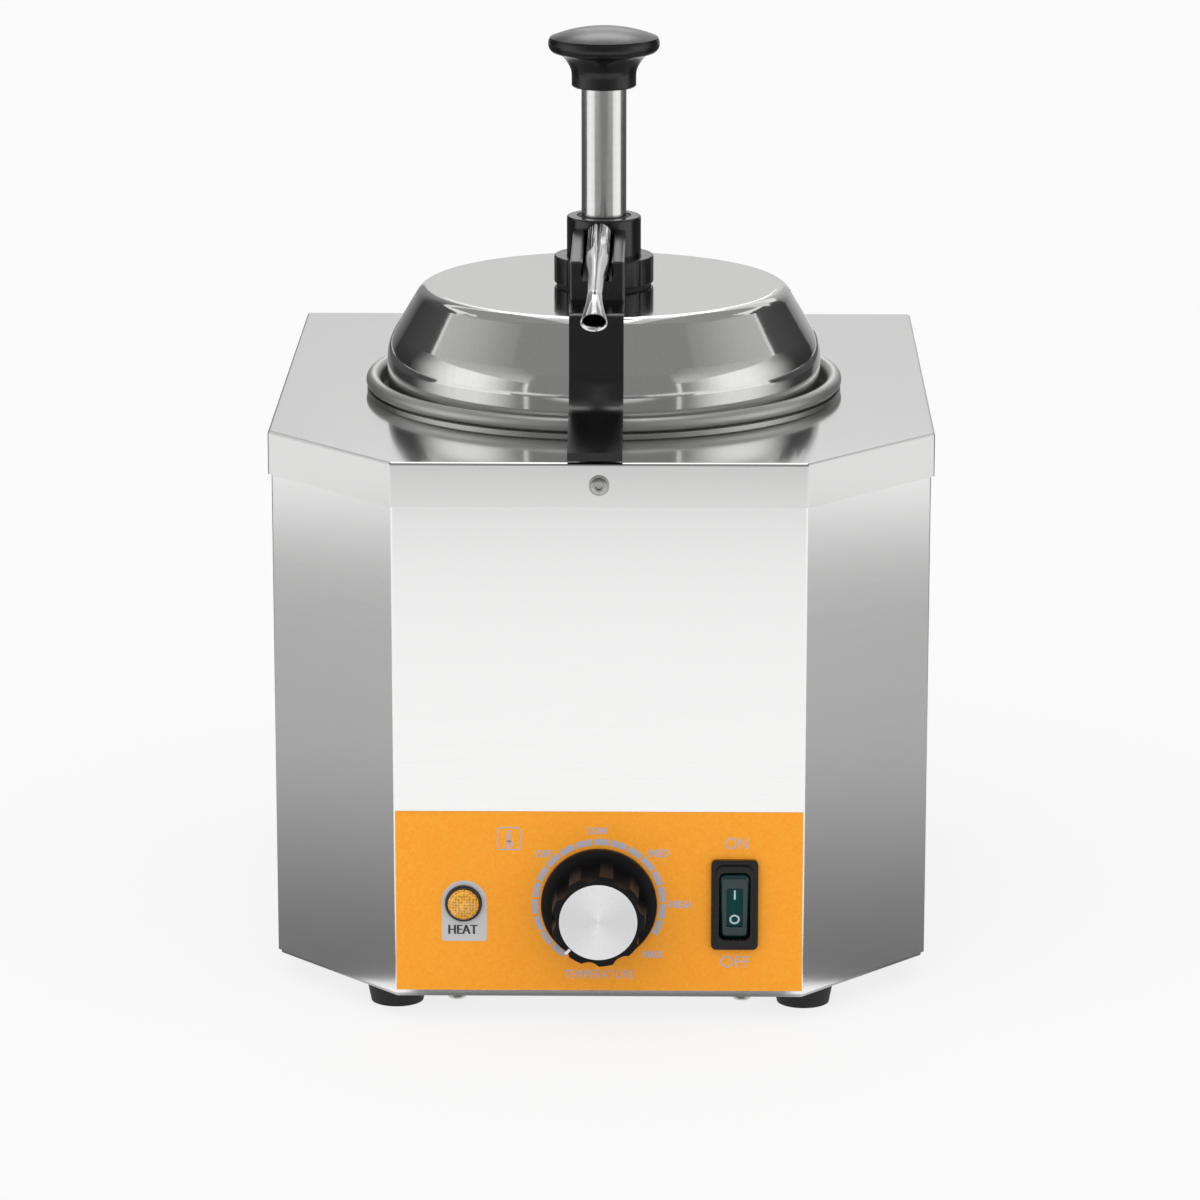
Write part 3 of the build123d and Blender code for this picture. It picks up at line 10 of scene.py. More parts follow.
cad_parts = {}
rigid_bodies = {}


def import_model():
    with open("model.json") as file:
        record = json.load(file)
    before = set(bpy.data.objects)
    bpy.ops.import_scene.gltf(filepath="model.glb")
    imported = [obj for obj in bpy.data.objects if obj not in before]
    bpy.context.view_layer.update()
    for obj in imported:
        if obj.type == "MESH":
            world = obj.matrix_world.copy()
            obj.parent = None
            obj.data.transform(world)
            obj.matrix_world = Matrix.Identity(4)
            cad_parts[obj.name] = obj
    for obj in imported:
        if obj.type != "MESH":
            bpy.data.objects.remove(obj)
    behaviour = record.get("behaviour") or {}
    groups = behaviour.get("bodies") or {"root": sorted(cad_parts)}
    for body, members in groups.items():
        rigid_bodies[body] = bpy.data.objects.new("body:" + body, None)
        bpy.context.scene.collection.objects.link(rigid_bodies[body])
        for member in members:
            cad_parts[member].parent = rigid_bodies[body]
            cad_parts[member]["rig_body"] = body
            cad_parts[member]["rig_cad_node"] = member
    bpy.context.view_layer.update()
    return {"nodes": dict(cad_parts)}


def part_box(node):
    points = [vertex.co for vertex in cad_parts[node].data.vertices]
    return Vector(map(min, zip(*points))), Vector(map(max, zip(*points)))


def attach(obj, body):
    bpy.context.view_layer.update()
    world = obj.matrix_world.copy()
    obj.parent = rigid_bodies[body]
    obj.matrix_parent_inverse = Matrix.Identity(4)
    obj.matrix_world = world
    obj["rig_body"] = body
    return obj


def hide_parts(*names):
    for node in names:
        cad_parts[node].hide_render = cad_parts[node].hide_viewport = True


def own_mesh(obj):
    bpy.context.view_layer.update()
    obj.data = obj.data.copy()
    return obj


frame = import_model()
bpy.ops.object.select_all(action="DESELECT")
mm = 0.001

# Camera: a long lens a little above the lid, looking down at the front of the cabinet from about
# two metres away, a hair to the right of its middle.
camera_distance = 2167.1 * mm
camera_height = 678.6 * mm
camera_side = radians(0.75)
camera_pitch = radians(75.87)
camera_turn = radians(0.794)
bpy.ops.object.camera_add(
    location=(camera_distance * sin(camera_side), -camera_distance * cos(camera_side), camera_height),
    rotation=(camera_pitch, 0, camera_turn),
)
camera = bpy.context.object
camera.name = "front_camera"
camera.data.lens = 163.63
camera.data.sensor_width = 36.0
bpy.context.scene.camera = camera
bpy.context.scene.view_settings.view_transform = "Standard"

# Studio floor: a wide white sweep. It shows as white in the picture and in the steel, and keeps the
# soft shadow under the cabinet.
bpy.ops.object.select_all(action="DESELECT")
bpy.ops.mesh.primitive_plane_add(size=16.0)
studio_floor = bpy.context.object
studio_floor.name = "studio_floor"
floor_white = bpy.data.materials.new("floor_white")
floor_white.use_nodes = True
floor_nodes, floor_links = floor_white.node_tree.nodes, floor_white.node_tree.links
floor_nodes.clear()
floor_paint = floor_nodes.new("ShaderNodeBsdfDiffuse")
floor_paint.inputs["Color"].default_value = (0.86, 0.86, 0.86, 1)
floor_glow = floor_nodes.new("ShaderNodeEmission")
floor_glow.inputs["Color"].default_value = (1, 1, 1, 1)
floor_rays = floor_nodes.new("ShaderNodeLightPath")
floor_seen = floor_nodes.new("ShaderNodeMath")
floor_seen.operation = "ADD"
floor_through = floor_nodes.new("ShaderNodeMath")
floor_through.operation = "ADD"
floor_share = floor_nodes.new("ShaderNodeMath")
floor_share.operation = "MULTIPLY"
floor_share.inputs[1].default_value = 0.78
floor_mix = floor_nodes.new("ShaderNodeMixShader")
floor_out = floor_nodes.new("ShaderNodeOutputMaterial")
floor_links.new(floor_rays.outputs["Is Camera Ray"], floor_seen.inputs[0])
floor_links.new(floor_rays.outputs["Is Glossy Ray"], floor_seen.inputs[1])
floor_links.new(floor_seen.outputs[0], floor_through.inputs[0])
floor_links.new(floor_rays.outputs["Is Transmission Ray"], floor_through.inputs[1])
floor_links.new(floor_through.outputs[0], floor_share.inputs[0])
floor_links.new(floor_share.outputs[0], floor_mix.inputs["Fac"])
floor_links.new(floor_paint.outputs[0], floor_mix.inputs[1])
floor_links.new(floor_glow.outputs[0], floor_mix.inputs[2])
floor_links.new(floor_mix.outputs[0], floor_out.inputs["Surface"])
studio_floor.data.materials.append(floor_white)

# Studio air: a plain soft light from all round, white where it is looked at or mirrored.
studio = bpy.data.worlds.new("studio_air")
bpy.context.scene.world = studio
studio.use_nodes = True
air_nodes, air_links = studio.node_tree.nodes, studio.node_tree.links
air_light = air_nodes["Background"]
air_light.inputs["Color"].default_value = (1, 1, 1, 1)
air_light.inputs["Strength"].default_value = 0.5
air_white = air_nodes.new("ShaderNodeBackground")
air_white.inputs["Color"].default_value = (1, 1, 1, 1)
air_white.inputs["Strength"].default_value = 1.0
air_rays = air_nodes.new("ShaderNodeLightPath")
air_seen = air_nodes.new("ShaderNodeMath")
air_seen.operation = "ADD"
air_through = air_nodes.new("ShaderNodeMath")
air_through.operation = "ADD"
air_mix = air_nodes.new("ShaderNodeMixShader")
air_links.new(air_rays.outputs["Is Camera Ray"], air_seen.inputs[0])
air_links.new(air_rays.outputs["Is Glossy Ray"], air_seen.inputs[1])
air_links.new(air_seen.outputs[0], air_through.inputs[0])
air_links.new(air_rays.outputs["Is Transmission Ray"], air_through.inputs[1])
air_links.new(air_through.outputs[0], air_mix.inputs["Fac"])
air_links.new(air_light.outputs[0], air_mix.inputs[1])
air_links.new(air_white.outputs[0], air_mix.inputs[2])
air_links.new(air_mix.outputs[0], air_nodes["World Output"].inputs["Surface"])

# Lamps: two broad soft lamps high at the front left and right, and one above and behind.
for lamp_name, strength, spread, lean, turn in (
    ("left_soft_lamp", 0.98, 70, 48, -38),
    ("right_soft_lamp", 0.68, 70, 52, 46),
    ("back_soft_lamp", 0.5, 80, -28, 0),
):
    bpy.ops.object.light_add(type="SUN", rotation=(radians(lean), 0, radians(turn)))
    soft_lamp = bpy.context.object
    soft_lamp.name = lamp_name
    soft_lamp.data.energy = strength
    soft_lamp.data.angle = radians(spread)
    soft_lamp.visible_glossy = False


# Studio cards: grey and white boards round the cabinet that only polished surfaces see. Each fades
# from one shade at its low edge to another at its high edge, as a lit board does.
def studio_card(name, centre, width, height, lean, turn, shades, fade="Y"):
    """A board facing along its own Z, shaded from its low edge to its high edge along one axis."""
    bpy.ops.object.select_all(action="DESELECT")
    bpy.ops.mesh.primitive_plane_add(
        size=1.0, location=centre, rotation=(radians(lean), 0, radians(turn))
    )
    card = bpy.context.object
    card.name = name
    card.scale = (width, height, 1)
    paint = bpy.data.materials.new(name + "_paint")
    paint.use_nodes = True
    nodes, links = paint.node_tree.nodes, paint.node_tree.links
    nodes.clear()
    place = nodes.new("ShaderNodeTexCoord")
    split = nodes.new("ShaderNodeSeparateXYZ")
    shade = nodes.new("ShaderNodeMapRange")
    shade.interpolation_type = "SMOOTHSTEP"
    shade.inputs["From Min"].default_value = -0.5
    shade.inputs["From Max"].default_value = 0.5
    shade.inputs["To Min"].default_value, shade.inputs["To Max"].default_value = shades
    glow = nodes.new("ShaderNodeEmission")
    out = nodes.new("ShaderNodeOutputMaterial")
    links.new(place.outputs["Object"], split.inputs[0])
    links.new(split.outputs[fade], shade.inputs["Value"])
    links.new(shade.outputs["Result"], glow.inputs["Strength"])
    links.new(glow.outputs[0], out.inputs["Surface"])
    card.data.materials.append(paint)
    card.visible_camera = False
    card.visible_diffuse = False
    card.visible_transmission = False
    card.visible_shadow = False


room_side, room_back, room_front, room_height = 2.6, 3.0, -3.2, 3.0
low_wall, softbox = 1.3, (1.15, 1.15)
for side, turn in ((-1, 90), (1, -90)):
    hand = "left" if side < 0 else "right"
    wall = side * room_side
    rise, fall = (0.28, 1.15), (1.1, 0.08)
    if side < 0:
        rise, fall = rise[::-1], fall[::-1]
    # Beside each side the floor card is a grey board, darkest next to the cabinet: that dark end is painted
    # shade for the floor's shade beside it, which the chamfers mirror.
    studio_card(hand + "_floor_card", (side * 0.32, 0.15, 0.003), 0.7, 0.4, 0, turn, (0.16, 0.4))
    studio_card(hand + "_outer_floor_card", (side * 0.71, 0.15, 0.003), 0.7, 0.38, 0, turn, (0.4, 0.36))
    studio_card(hand + "_far_floor_card", (side * 1.8, -0.5, 0.002), 1.0, 1.2, 0, turn, (1.1, 1.1))
    studio_card(hand + "_back_floor_card", (side * 1.35, 1.4, 0.005), 2.1, 2.4, 0, 0, (0.08, 0.12))
    studio_card(hand + "_front_floor_card", (side * 1.0, -1.6, 0.005), 1.2, 1.0, 0, side * -38, (0.25, 0.25))
    studio_card(hand + "_front_wall_card", (wall, -1.9, low_wall / 2), 2.1, low_wall, 90, -turn, rise, "X")
    studio_card(hand + "_softbox", (wall, -0.58, low_wall / 2), 0.54, low_wall, 90, turn, softbox)
    studio_card(hand + "_back_wall_card", (wall, 0.6, low_wall / 2), 1.82, low_wall, 90, -turn, fall, "X")
    studio_card(hand + "_dark_card", (side * 2.5, 2.2, 1.15), 2.1, 2.3, 90, turn / 1.5, (0.04, 0.1))
    studio_card(hand + "_high_wall_card", (wall, -1.1, 2.15), 4.2, 1.7, 90, turn, (0.6, 0.35))
    studio_card(hand + "_ceiling_card", (side * 1.7, 0.5, room_height), 2.0, 5.0, 0, 0, (0.35, 0.35))
studio_card("left_back_card", (-1.6, room_back, 1.25), 2.0, 2.5, 90, 180, (0.3, 0.04), "X")
studio_card("right_back_card", (1.6, room_back, 0.8), 2.0, 1.6, 90, 180, (0.12, 0.55), "X")
studio_card("back_card", (0, room_back, 0.8), 1.24, 1.6, 90, 0, (0.66, 0.78))
studio_card("high_back_card", (0.8, 2.6, 2.4), 2.8, 1.9, 60, 0, (0.8, 0.8))
studio_card("back_strip_softbox", (0, 2.9, 1.4), 0.64, 0.8, 90, 0, (1.6, 1.6))
studio_card("back_softbox", (0, 2.4, 2.35), 0.9, 1.6, 65, 0, (3.8, 3.8))
# A dark card just in front of the cabinet's foot is a painted shadow: the shell's lower edge mirrors it in
# place of the floor's shade there.
studio_card("foot_shadow_card", (0, -0.17, 0.001), 0.15, 0.04, 0, 0, (0.08, 0.08))
studio_card("front_floor_near_card", (0, -1.09, 0.004), 1.2, 0.14, 0, 180, (0.94, 0.8))
studio_card("front_floor_edge_card", (0, -1.21, 0.004), 1.2, 0.1, 0, 180, (0.8, 0.2))
studio_card("front_floor_card", (0, -2.05, 0.004), 2.1, 1.6, 0, 180, (0.2, 0.14))
studio_card(
    "front_wall_card", (0, room_front, room_height / 2), 2 * room_side, room_height, 90, 0, (0.28, 0.28)
)
studio_card("ceiling_card", (0, -1.95, 2.98), 2 * room_side, 2.5, 0, 0, (0.3, 0.3))
studio_card("overhead_card", (0, 0.3, room_height), 1.4, 2.0, 0, 0, (0.65, 0.7))
studio_card("overhead_softbox", (0, 0.7, 2.96), 0.7, 1.2, 0, 0, (3.0, 3.0))


# Body shell: one folded sheet of brushed stainless steel, with a flat front and two wide chamfers.
# It is screwed to the base plate below, and its grain runs level all round the cabinet.
def grained(name, metallic, dark, light, polish, grain, stretch=(1, 1, 1), relief=0.0):
    """A finish whose tone, polish and relief all follow one fine grain."""
    finish = bpy.data.materials.new(name)
    finish.use_nodes = True
    nodes, links = finish.node_tree.nodes, finish.node_tree.links
    face = nodes["Principled BSDF"]
    face.inputs["Metallic"].default_value = metallic
    place = nodes.new("ShaderNodeTexCoord")
    lay = nodes.new("ShaderNodeMapping")
    lay.inputs["Scale"].default_value = stretch
    noise = nodes.new("ShaderNodeTexNoise")
    noise.inputs["Scale"].default_value = grain
    noise.inputs["Detail"].default_value = 3.0
    tone = nodes.new("ShaderNodeMix")
    tone.data_type = "RGBA"
    tone.inputs["A"].default_value, tone.inputs["B"].default_value = (*dark, 1), (*light, 1)
    shine = nodes.new("ShaderNodeMapRange")
    shine.inputs["To Min"].default_value, shine.inputs["To Max"].default_value = polish
    bump = nodes.new("ShaderNodeBump")
    bump.inputs["Strength"].default_value = 1.0
    bump.inputs["Distance"].default_value = relief * mm
    links.new(place.outputs["Object"], lay.inputs["Vector"])
    links.new(lay.outputs["Vector"], noise.inputs["Vector"])
    links.new(noise.outputs["Fac"], tone.inputs["Factor"])
    links.new(noise.outputs["Fac"], shine.inputs["Value"])
    links.new(noise.outputs["Fac"], bump.inputs["Height"])
    links.new(tone.outputs["Result"], face.inputs["Base Color"])
    links.new(shine.outputs["Result"], face.inputs["Roughness"])
    links.new(bump.outputs["Normal"], face.inputs["Normal"])
    return finish


def coat(finish, *names):
    """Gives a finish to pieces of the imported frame."""
    for name in names:
        for slot in frame["nodes"][name].material_slots:
            slot.material = finish


shell_steel = grained(
    "shell_steel", 1.0, (0.93, 0.93, 0.925), (1.0, 1.0, 0.995), (0.17, 0.22), 2600, (0.02, 0.02, 1), 0.001
)
coat(shell_steel, "body_shell")

# Base plate and rear panel: plain bent sheets of the same steel with a coarser mill finish, held by
# small screws. The rear panel carries the cable gland and the base plate the four feet.
mill_steel = grained(
    "mill_steel", 1.0, (0.5, 0.5, 0.49), (0.64, 0.64, 0.63), (0.28, 0.42), 900, (0.04, 0.04, 1), 0.003
)
coat(mill_steel, "base_plate", "rear_panel")

# Feet: four turned pads of black nitrile rubber, each held by a pan head screw from above. The
# rubber is matt, with a faint moulding grain.
foot_rubber = grained(
    "foot_rubber_matt", 0.0, (0.005, 0.005, 0.005), (0.011, 0.011, 0.011), (0.6, 0.8), 1200, relief=0.01
)
coat(foot_rubber, "rubber_feet")

# Small screws, nuts and washers: zinc plated and stainless M4 hardware, turned bright and worn a
# little dull by the driver.
screw_steel = grained(
    "screw_steel_bright", 1.0, (0.42, 0.42, 0.41), (0.66, 0.66, 0.65), (0.2, 0.4), 700, relief=0.004
)
coat(
    screw_steel, "foot_screws", "base_screws", "deck_screws", "deck_washers", "rear_screws", "m4_nuts"
)

# Top deck: one pressed sheet of brushed stainless steel with a folded skirt, and a round opening
# welded to the well. Its grain runs from side to side.
deck_steel = grained(
    "deck_steel_brushed", 1.0, (0.72, 0.72, 0.715), (0.79, 0.79, 0.785), (0.08, 0.12), 2600, (0.02, 1, 1),
    0.0008,
)
coat(deck_steel, "top_deck")

# Water well: a deep drawn stainless pan under the deck that holds the hot water. Drawing leaves a
# soft satin face, and hard water a faint cloudy film low down.
well_steel = grained(
    "well_steel_drawn", 1.0, (0.4, 0.4, 0.39), (0.62, 0.62, 0.61), (0.22, 0.42), 160, (1, 1, 0.25), 0.01
)
coat(well_steel, "water_well")

# Heating element: a bent tube of alloy steel in the floor of the well, heat tinted to a dull brown
# grey. Its two legs pass through brass bushings with gaskets and are held by nuts.
element_steel = grained(
    "element_steel_tinted", 1.0, (0.16, 0.13, 0.11), (0.34, 0.31, 0.28), (0.35, 0.55), 260, relief=0.01
)
coat(element_steel, "heating_element")
brass = grained("turned_brass", 1.0, (0.52, 0.36, 0.14), (0.74, 0.55, 0.26), (0.25, 0.42), 500, relief=0.005)
coat(brass, "element_bushings", "element_nuts", "terminal_screws", "earth_stud")

# Seals: flat rings and lip rings of black food grade rubber, matt and slightly dusty. They sit
# under the element's bushings and the ring nut, and inside the pump and the cable gland.
seal_rubber = grained(
    "seal_rubber_matt", 0.0, (0.014, 0.014, 0.014), (0.035, 0.035, 0.034), (0.55, 0.75), 1500, relief=0.008
)
coat(seal_rubber, "element_gaskets", "lid_gasket", "wiper_ring", "piston_seal", "gland_seal")

# Thermostat and safety cutout: a capillary thermostat in a white housing behind the panel, its
# copper bulb clipped under the well, and a bimetal cutout strapped beside it.
white_plastic = grained(
    "moulded_white", 0.0, (0.66, 0.66, 0.64), (0.78, 0.78, 0.76), (0.35, 0.48), 900, relief=0.005
)
coat(white_plastic, "thermostat", "terminal_block")
plated_steel = grained(
    "plated_steel", 1.0, (0.4, 0.4, 0.42), (0.6, 0.6, 0.62), (0.25, 0.45), 420, relief=0.005
)
coat(plated_steel, "thermostat_shaft", "bulb_clips", "cutout_strap", "thermostat_screws")
copper = grained("drawn_copper", 1.0, (0.55, 0.24, 0.15), (0.8, 0.42, 0.3), (0.25, 0.45), 350, relief=0.005)
coat(copper, "capillary_bulb")
dark_plastic = grained(
    "dark_plastic_plain", 0.0, (0.012, 0.012, 0.013), (0.03, 0.03, 0.032), (0.35, 0.5), 1400, relief=0.006
)
coat(dark_plastic, "thermal_cutout")

# Wiring: heat proof single wires between the switch, thermostat, cutout, lamp and element, with
# silicone jackets that are smooth and slightly waxy.
wire_jacket = grained(
    "wire_jacket_silicone", 0.0, (0.34, 0.32, 0.28), (0.5, 0.48, 0.43), (0.4, 0.55), 600, relief=0.01
)
coat(wire_jacket, "wiring")

# Topping jar: a spun stainless steel jar with a rolled bead that hangs on the deck's opening. It
# is polished outside, with faint spinning rings, and its bead is satin.
turned_lay = (0.05, 0.05, 1)
jar_steel = grained(
    "jar_steel_spun", 1.0, (0.5, 0.5, 0.49), (0.62, 0.62, 0.61), (0.18, 0.3), 1300, turned_lay, 0.003
)
jar_nodes, jar_links = jar_steel.node_tree.nodes, jar_steel.node_tree.links
bead_height = jar_nodes.new("ShaderNodeSeparateXYZ")
bead_start = jar_nodes.new("ShaderNodeMapRange")
bead_low, bead_full = 222.5 * mm, 224.5 * mm
bead_start.inputs["From Min"].default_value = bead_low
bead_start.inputs["From Max"].default_value = bead_full
bead_start.inputs["To Max"].default_value = 0.2
bead_satin = jar_nodes.new("ShaderNodeMath")
bead_satin.operation = "ADD"
jar_links.new(jar_nodes["Texture Coordinate"].outputs["Object"], bead_height.inputs[0])
jar_links.new(bead_height.outputs["Z"], bead_start.inputs["Value"])
jar_links.new(jar_nodes["Map Range"].outputs["Result"], bead_satin.inputs[0])
jar_links.new(bead_start.outputs["Result"], bead_satin.inputs[1])
jar_links.new(bead_satin.outputs[0], jar_nodes["Principled BSDF"].inputs["Roughness"])
coat(jar_steel, "topping_jar")

# Control overlay: a printed polyester film over the lower front panel, orange with a fine leather
# like speckle that takes the shine off it. It is stuck flat on the shell.
overlay_film = grained(
    "overlay_film_orange", 0.0, (1.0, 0.27, 0.008), (1.0, 0.5, 0.04), (0.34, 0.5), 1300, relief=0.014
)
overlay_film.node_tree.nodes["Principled BSDF"].inputs["Specular IOR Level"].default_value = 0.25
coat(overlay_film, "control_overlay")

# Printing on the overlay: flat screen printed inks in a pale lilac grey and a dark grey, a hair
# proud of the film. The words only name the dial, its settings, the lamp and the switch's positions.
film_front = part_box("control_overlay")[0].y
print_front = film_front - 0.03 * mm
control_z = 48.8 * mm
pale_ink = grained(
    "pale_ink", 0.0, (0.44, 0.41, 0.47), (0.52, 0.49, 0.55), (0.4, 0.5), 2400, relief=0.004
)
dark_ink = grained(
    "dark_ink", 0.0, (0.02, 0.018, 0.02), (0.04, 0.036, 0.04), (0.4, 0.5), 2400, relief=0.004
)


def settle(piece, name, finish, body):
    """Applies a piece's place, names it and lets it ride."""
    bpy.ops.object.select_all(action="DESELECT")
    piece.select_set(True)
    bpy.context.view_layer.objects.active = piece
    bpy.ops.object.transform_apply(location=True, rotation=True, scale=True)
    piece.name = name
    piece.data.name = name
    piece.data.materials.clear()
    piece.data.materials.append(finish)
    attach(piece, body)


def joined(pieces):
    """Joins flat pieces into the first one."""
    bpy.ops.object.select_all(action="DESELECT")
    for piece in pieces:
        piece.select_set(True)
    bpy.context.view_layer.objects.active = pieces[0]
    bpy.ops.object.join()
    return pieces[0]


def word(text, x, z, width, height, weight):
    """A printed word of a given size, centred on a place of the panel, in mm."""
    bpy.ops.object.select_all(action="DESELECT")
    bpy.ops.object.text_add()
    piece = bpy.context.object
    piece.data.body = text
    piece.data.resolution_u = 6
    bpy.ops.object.convert(target="MESH")
    piece = bpy.context.object
    bpy.ops.object.mode_set(mode="EDIT")
    bpy.ops.mesh.select_all(action="SELECT")
    bpy.ops.mesh.remove_doubles(threshold=1e-5)
    bpy.ops.object.mode_set(mode="OBJECT")
    corners = [vertex.co for vertex in piece.data.vertices]
    low = Vector([min(corner[axis] for corner in corners) for axis in range(3)])
    high = Vector([max(corner[axis] for corner in corners) for axis in range(3)])
    stretch_x, stretch_y = width * mm / (high.x - low.x), height * mm / (high.y - low.y)
    middle = (low + high) / 2
    piece.scale = (stretch_x, stretch_y, 1)
    piece.rotation_euler = (pi / 2, 0, 0)
    piece.location = (x * mm - middle.x * stretch_x, print_front, z * mm - middle.y * stretch_y)
    bpy.ops.object.transform_apply(location=True, rotation=True, scale=True)
    strokes = [piece]
    for shift in weight:
        stroke = piece.copy()
        stroke.data = piece.data.copy()
        bpy.context.collection.objects.link(stroke)
        stroke.data.transform(Matrix.Translation((shift * mm, -0.004 * mm * len(strokes), 0)))
        strokes.append(stroke)
    return joined(strokes)


bold, light = (-0.2, 0.2), ()
dial_words = joined([
    word("LOW", -0.5, 78.0, 7.4, 2.9, bold),
    word("MED", 23.1, 69.1, 7.4, 3.0, bold),
    word("HIGH", 31.3, 48.5, 8.2, 3.0, bold),
    word("MAX", 20.9, 28.2, 7.4, 3.0, bold),
    word("OFF", -21.3, 68.7, 6.2, 3.0, bold),
    word("*", -16.2, 30.8, 1.8, 1.8, bold),
    word("TEMPERATURE", -0.1, 20.0, 27.4, 3.4, light),
])
settle(dial_words, "dial_words", pale_ink, "housing")
switch_words = joined([
    word("ON", 53.2, 73.2, 8.8, 4.8, light),
    word("OFF", 52.7, 25.3, 11.4, 4.8, light),
])
settle(switch_words, "switch_words", pale_ink, "housing")
settle(word("HEAT", -52.8, 38.0, 11.1, 3.7, bold), "heat_word", dark_ink, "housing")

# Dial scale: seventeen printed bars that follow each other round the dial, three quarters of a
# turn, with narrow gaps.
scale_inner, scale_outer = 23.5 * mm, 26.0 * mm
scale_pitch = radians(15.88)
scale_bar = radians(13.88)
scale_bars = []
for place in range(17):
    bpy.ops.object.select_all(action="DESELECT")
    bpy.ops.mesh.primitive_plane_add(size=1)
    bar = bpy.context.object
    bpy.ops.object.mode_set(mode="EDIT")
    bpy.ops.mesh.select_all(action="DESELECT")
    bpy.ops.object.mode_set(mode="OBJECT")
    corners = bar.data.vertices
    for corner in corners:
        corner.select = corner.co.x > 0
    bpy.ops.object.mode_set(mode="EDIT")
    bpy.ops.mesh.delete(type="VERT")
    bpy.ops.object.mode_set(mode="OBJECT")
    middle_turn = (place - 8) * scale_pitch
    start = middle_turn - scale_bar / 2
    for corner, reach in zip(bar.data.vertices, (scale_inner, scale_outer)):
        corner.co = (reach * sin(start), print_front, control_z + reach * cos(start))
    bpy.ops.object.mode_set(mode="EDIT")
    bpy.ops.mesh.select_all(action="SELECT")
    bpy.ops.mesh.spin(
        steps=8, angle=scale_bar, center=(0, print_front, control_z), axis=(0, 1, 0), use_auto_merge=False
    )
    bpy.ops.object.mode_set(mode="OBJECT")
    scale_bars.append(bar)
dial_scale = joined(scale_bars)
bpy.ops.object.mode_set(mode="EDIT")
bpy.ops.mesh.select_all(action="SELECT")
bpy.ops.mesh.normals_make_consistent(inside=False)
bpy.ops.object.mode_set(mode="OBJECT")
settle(dial_scale, "dial_scale", pale_ink, "housing")


# Thermometer sign: a small square outline with a bulb and stem inside, above the lamp. It is screen
# printed on the film in the same pale ink as the words.
def outline(x, z, width, height, corner, line=0.0):
    """A rounded rectangle on the panel, in mm, whole or as a line of some width."""
    bpy.ops.object.select_all(action="DESELECT")
    bpy.ops.mesh.primitive_plane_add(
        size=1, location=(x * mm, print_front, z * mm), rotation=(pi / 2, 0, 0)
    )
    piece = bpy.context.object
    piece.scale = (width * mm, height * mm, 1)
    bpy.ops.object.transform_apply(location=True, rotation=True, scale=True)
    bpy.ops.object.mode_set(mode="EDIT")
    bpy.ops.mesh.select_all(action="SELECT")
    bpy.ops.mesh.bevel(offset=corner * mm, offset_pct=0, segments=10, affect="VERTICES")
    if line:
        bpy.ops.mesh.select_all(action="SELECT")
        bpy.ops.mesh.inset(thickness=line * mm, depth=0)
        bpy.ops.mesh.delete(type="FACE")
    bpy.ops.object.mode_set(mode="OBJECT")
    return piece


sign_x, sign_z = -34.8, 74.8
thermometer_sign = joined([
    outline(sign_x, sign_z, 9.3, 9.3, 1.6, 0.5),
    outline(sign_x, sign_z + 0.9, 1.9, 5.2, 0.9, 0.4),
    outline(sign_x, sign_z + 0.4, 0.5, 3.6, 0.2),
    outline(sign_x, sign_z - 2.3, 3.2, 3.2, 1.55, 0.45),
    outline(sign_x, sign_z - 2.3, 1.5, 1.5, 0.7),
])
settle(thermometer_sign, "thermometer_sign", pale_ink, "housing")

# Lamp tag: a pale grey printed field with an arched top round the heat lamp, under its word.
tag_middle, tag_width, tag_low, tag_high = -52.3, 17.4, 33.3, 57.8
tag_ink = grained("tag_ink", 0.0, (0.52, 0.52, 0.54), (0.62, 0.62, 0.64), (0.4, 0.5), 2400, relief=0.004)
bpy.ops.object.select_all(action="DESELECT")
bpy.ops.mesh.primitive_plane_add(
    size=1,
    location=(tag_middle * mm, print_front + 0.012 * mm, (tag_low + tag_high) / 2 * mm),
    rotation=(pi / 2, 0, 0),
)
lamp_tag = bpy.context.object
lamp_tag.scale = (tag_width * mm, (tag_high - tag_low) * mm, 1)
bpy.ops.object.transform_apply(location=True, rotation=True, scale=True)
for high_end, corner in ((True, tag_width / 2 - 0.01), (False, 1.2)):
    bpy.ops.object.mode_set(mode="EDIT")
    bpy.ops.mesh.select_all(action="DESELECT")
    bpy.ops.mesh.select_mode(type="VERT")
    bpy.ops.object.mode_set(mode="OBJECT")
    for point in lamp_tag.data.vertices:
        point.select = point.co.z > (tag_high - 0.1) * mm if high_end else point.co.z < (tag_low + 0.1) * mm
    bpy.ops.object.mode_set(mode="EDIT")
    bpy.ops.mesh.bevel(offset=corner * mm, offset_pct=0, segments=16, affect="VERTICES")
    bpy.ops.object.mode_set(mode="OBJECT")
settle(lamp_tag, "lamp_tag", tag_ink, "housing")

# Heat lamp: a black plastic bezel with an amber jewel lens pressed in, and a small neon behind it.
# The lens is a moulded cap cut inside in small facets, each painted from dark brown to bright amber as a
# painted sparkle.
lamp_black = grained(
    "lamp_bezel_black", 0.0, (0.008, 0.008, 0.008), (0.02, 0.02, 0.02), (0.22, 0.34), 1200, relief=0.003
)
coat(lamp_black, "lamp_bezel", "lamp_nut")
lamp_glass = grained("lamp_bulb_glass", 0.0, (0.75, 0.7, 0.6), (0.9, 0.86, 0.78), (0.05, 0.12), 400)
lamp_glass.node_tree.nodes["Principled BSDF"].inputs["Transmission Weight"].default_value = 0.7
coat(lamp_glass, "lamp_bulb")
amber = grained("amber_lens", 0.0, (0.16, 0.05, 0.003), (1.0, 0.5, 0.06), (0.06, 0.14), 420)
amber_nodes, amber_links = amber.node_tree.nodes, amber.node_tree.links
amber_nodes["Principled BSDF"].inputs["Coat Weight"].default_value = 0.5
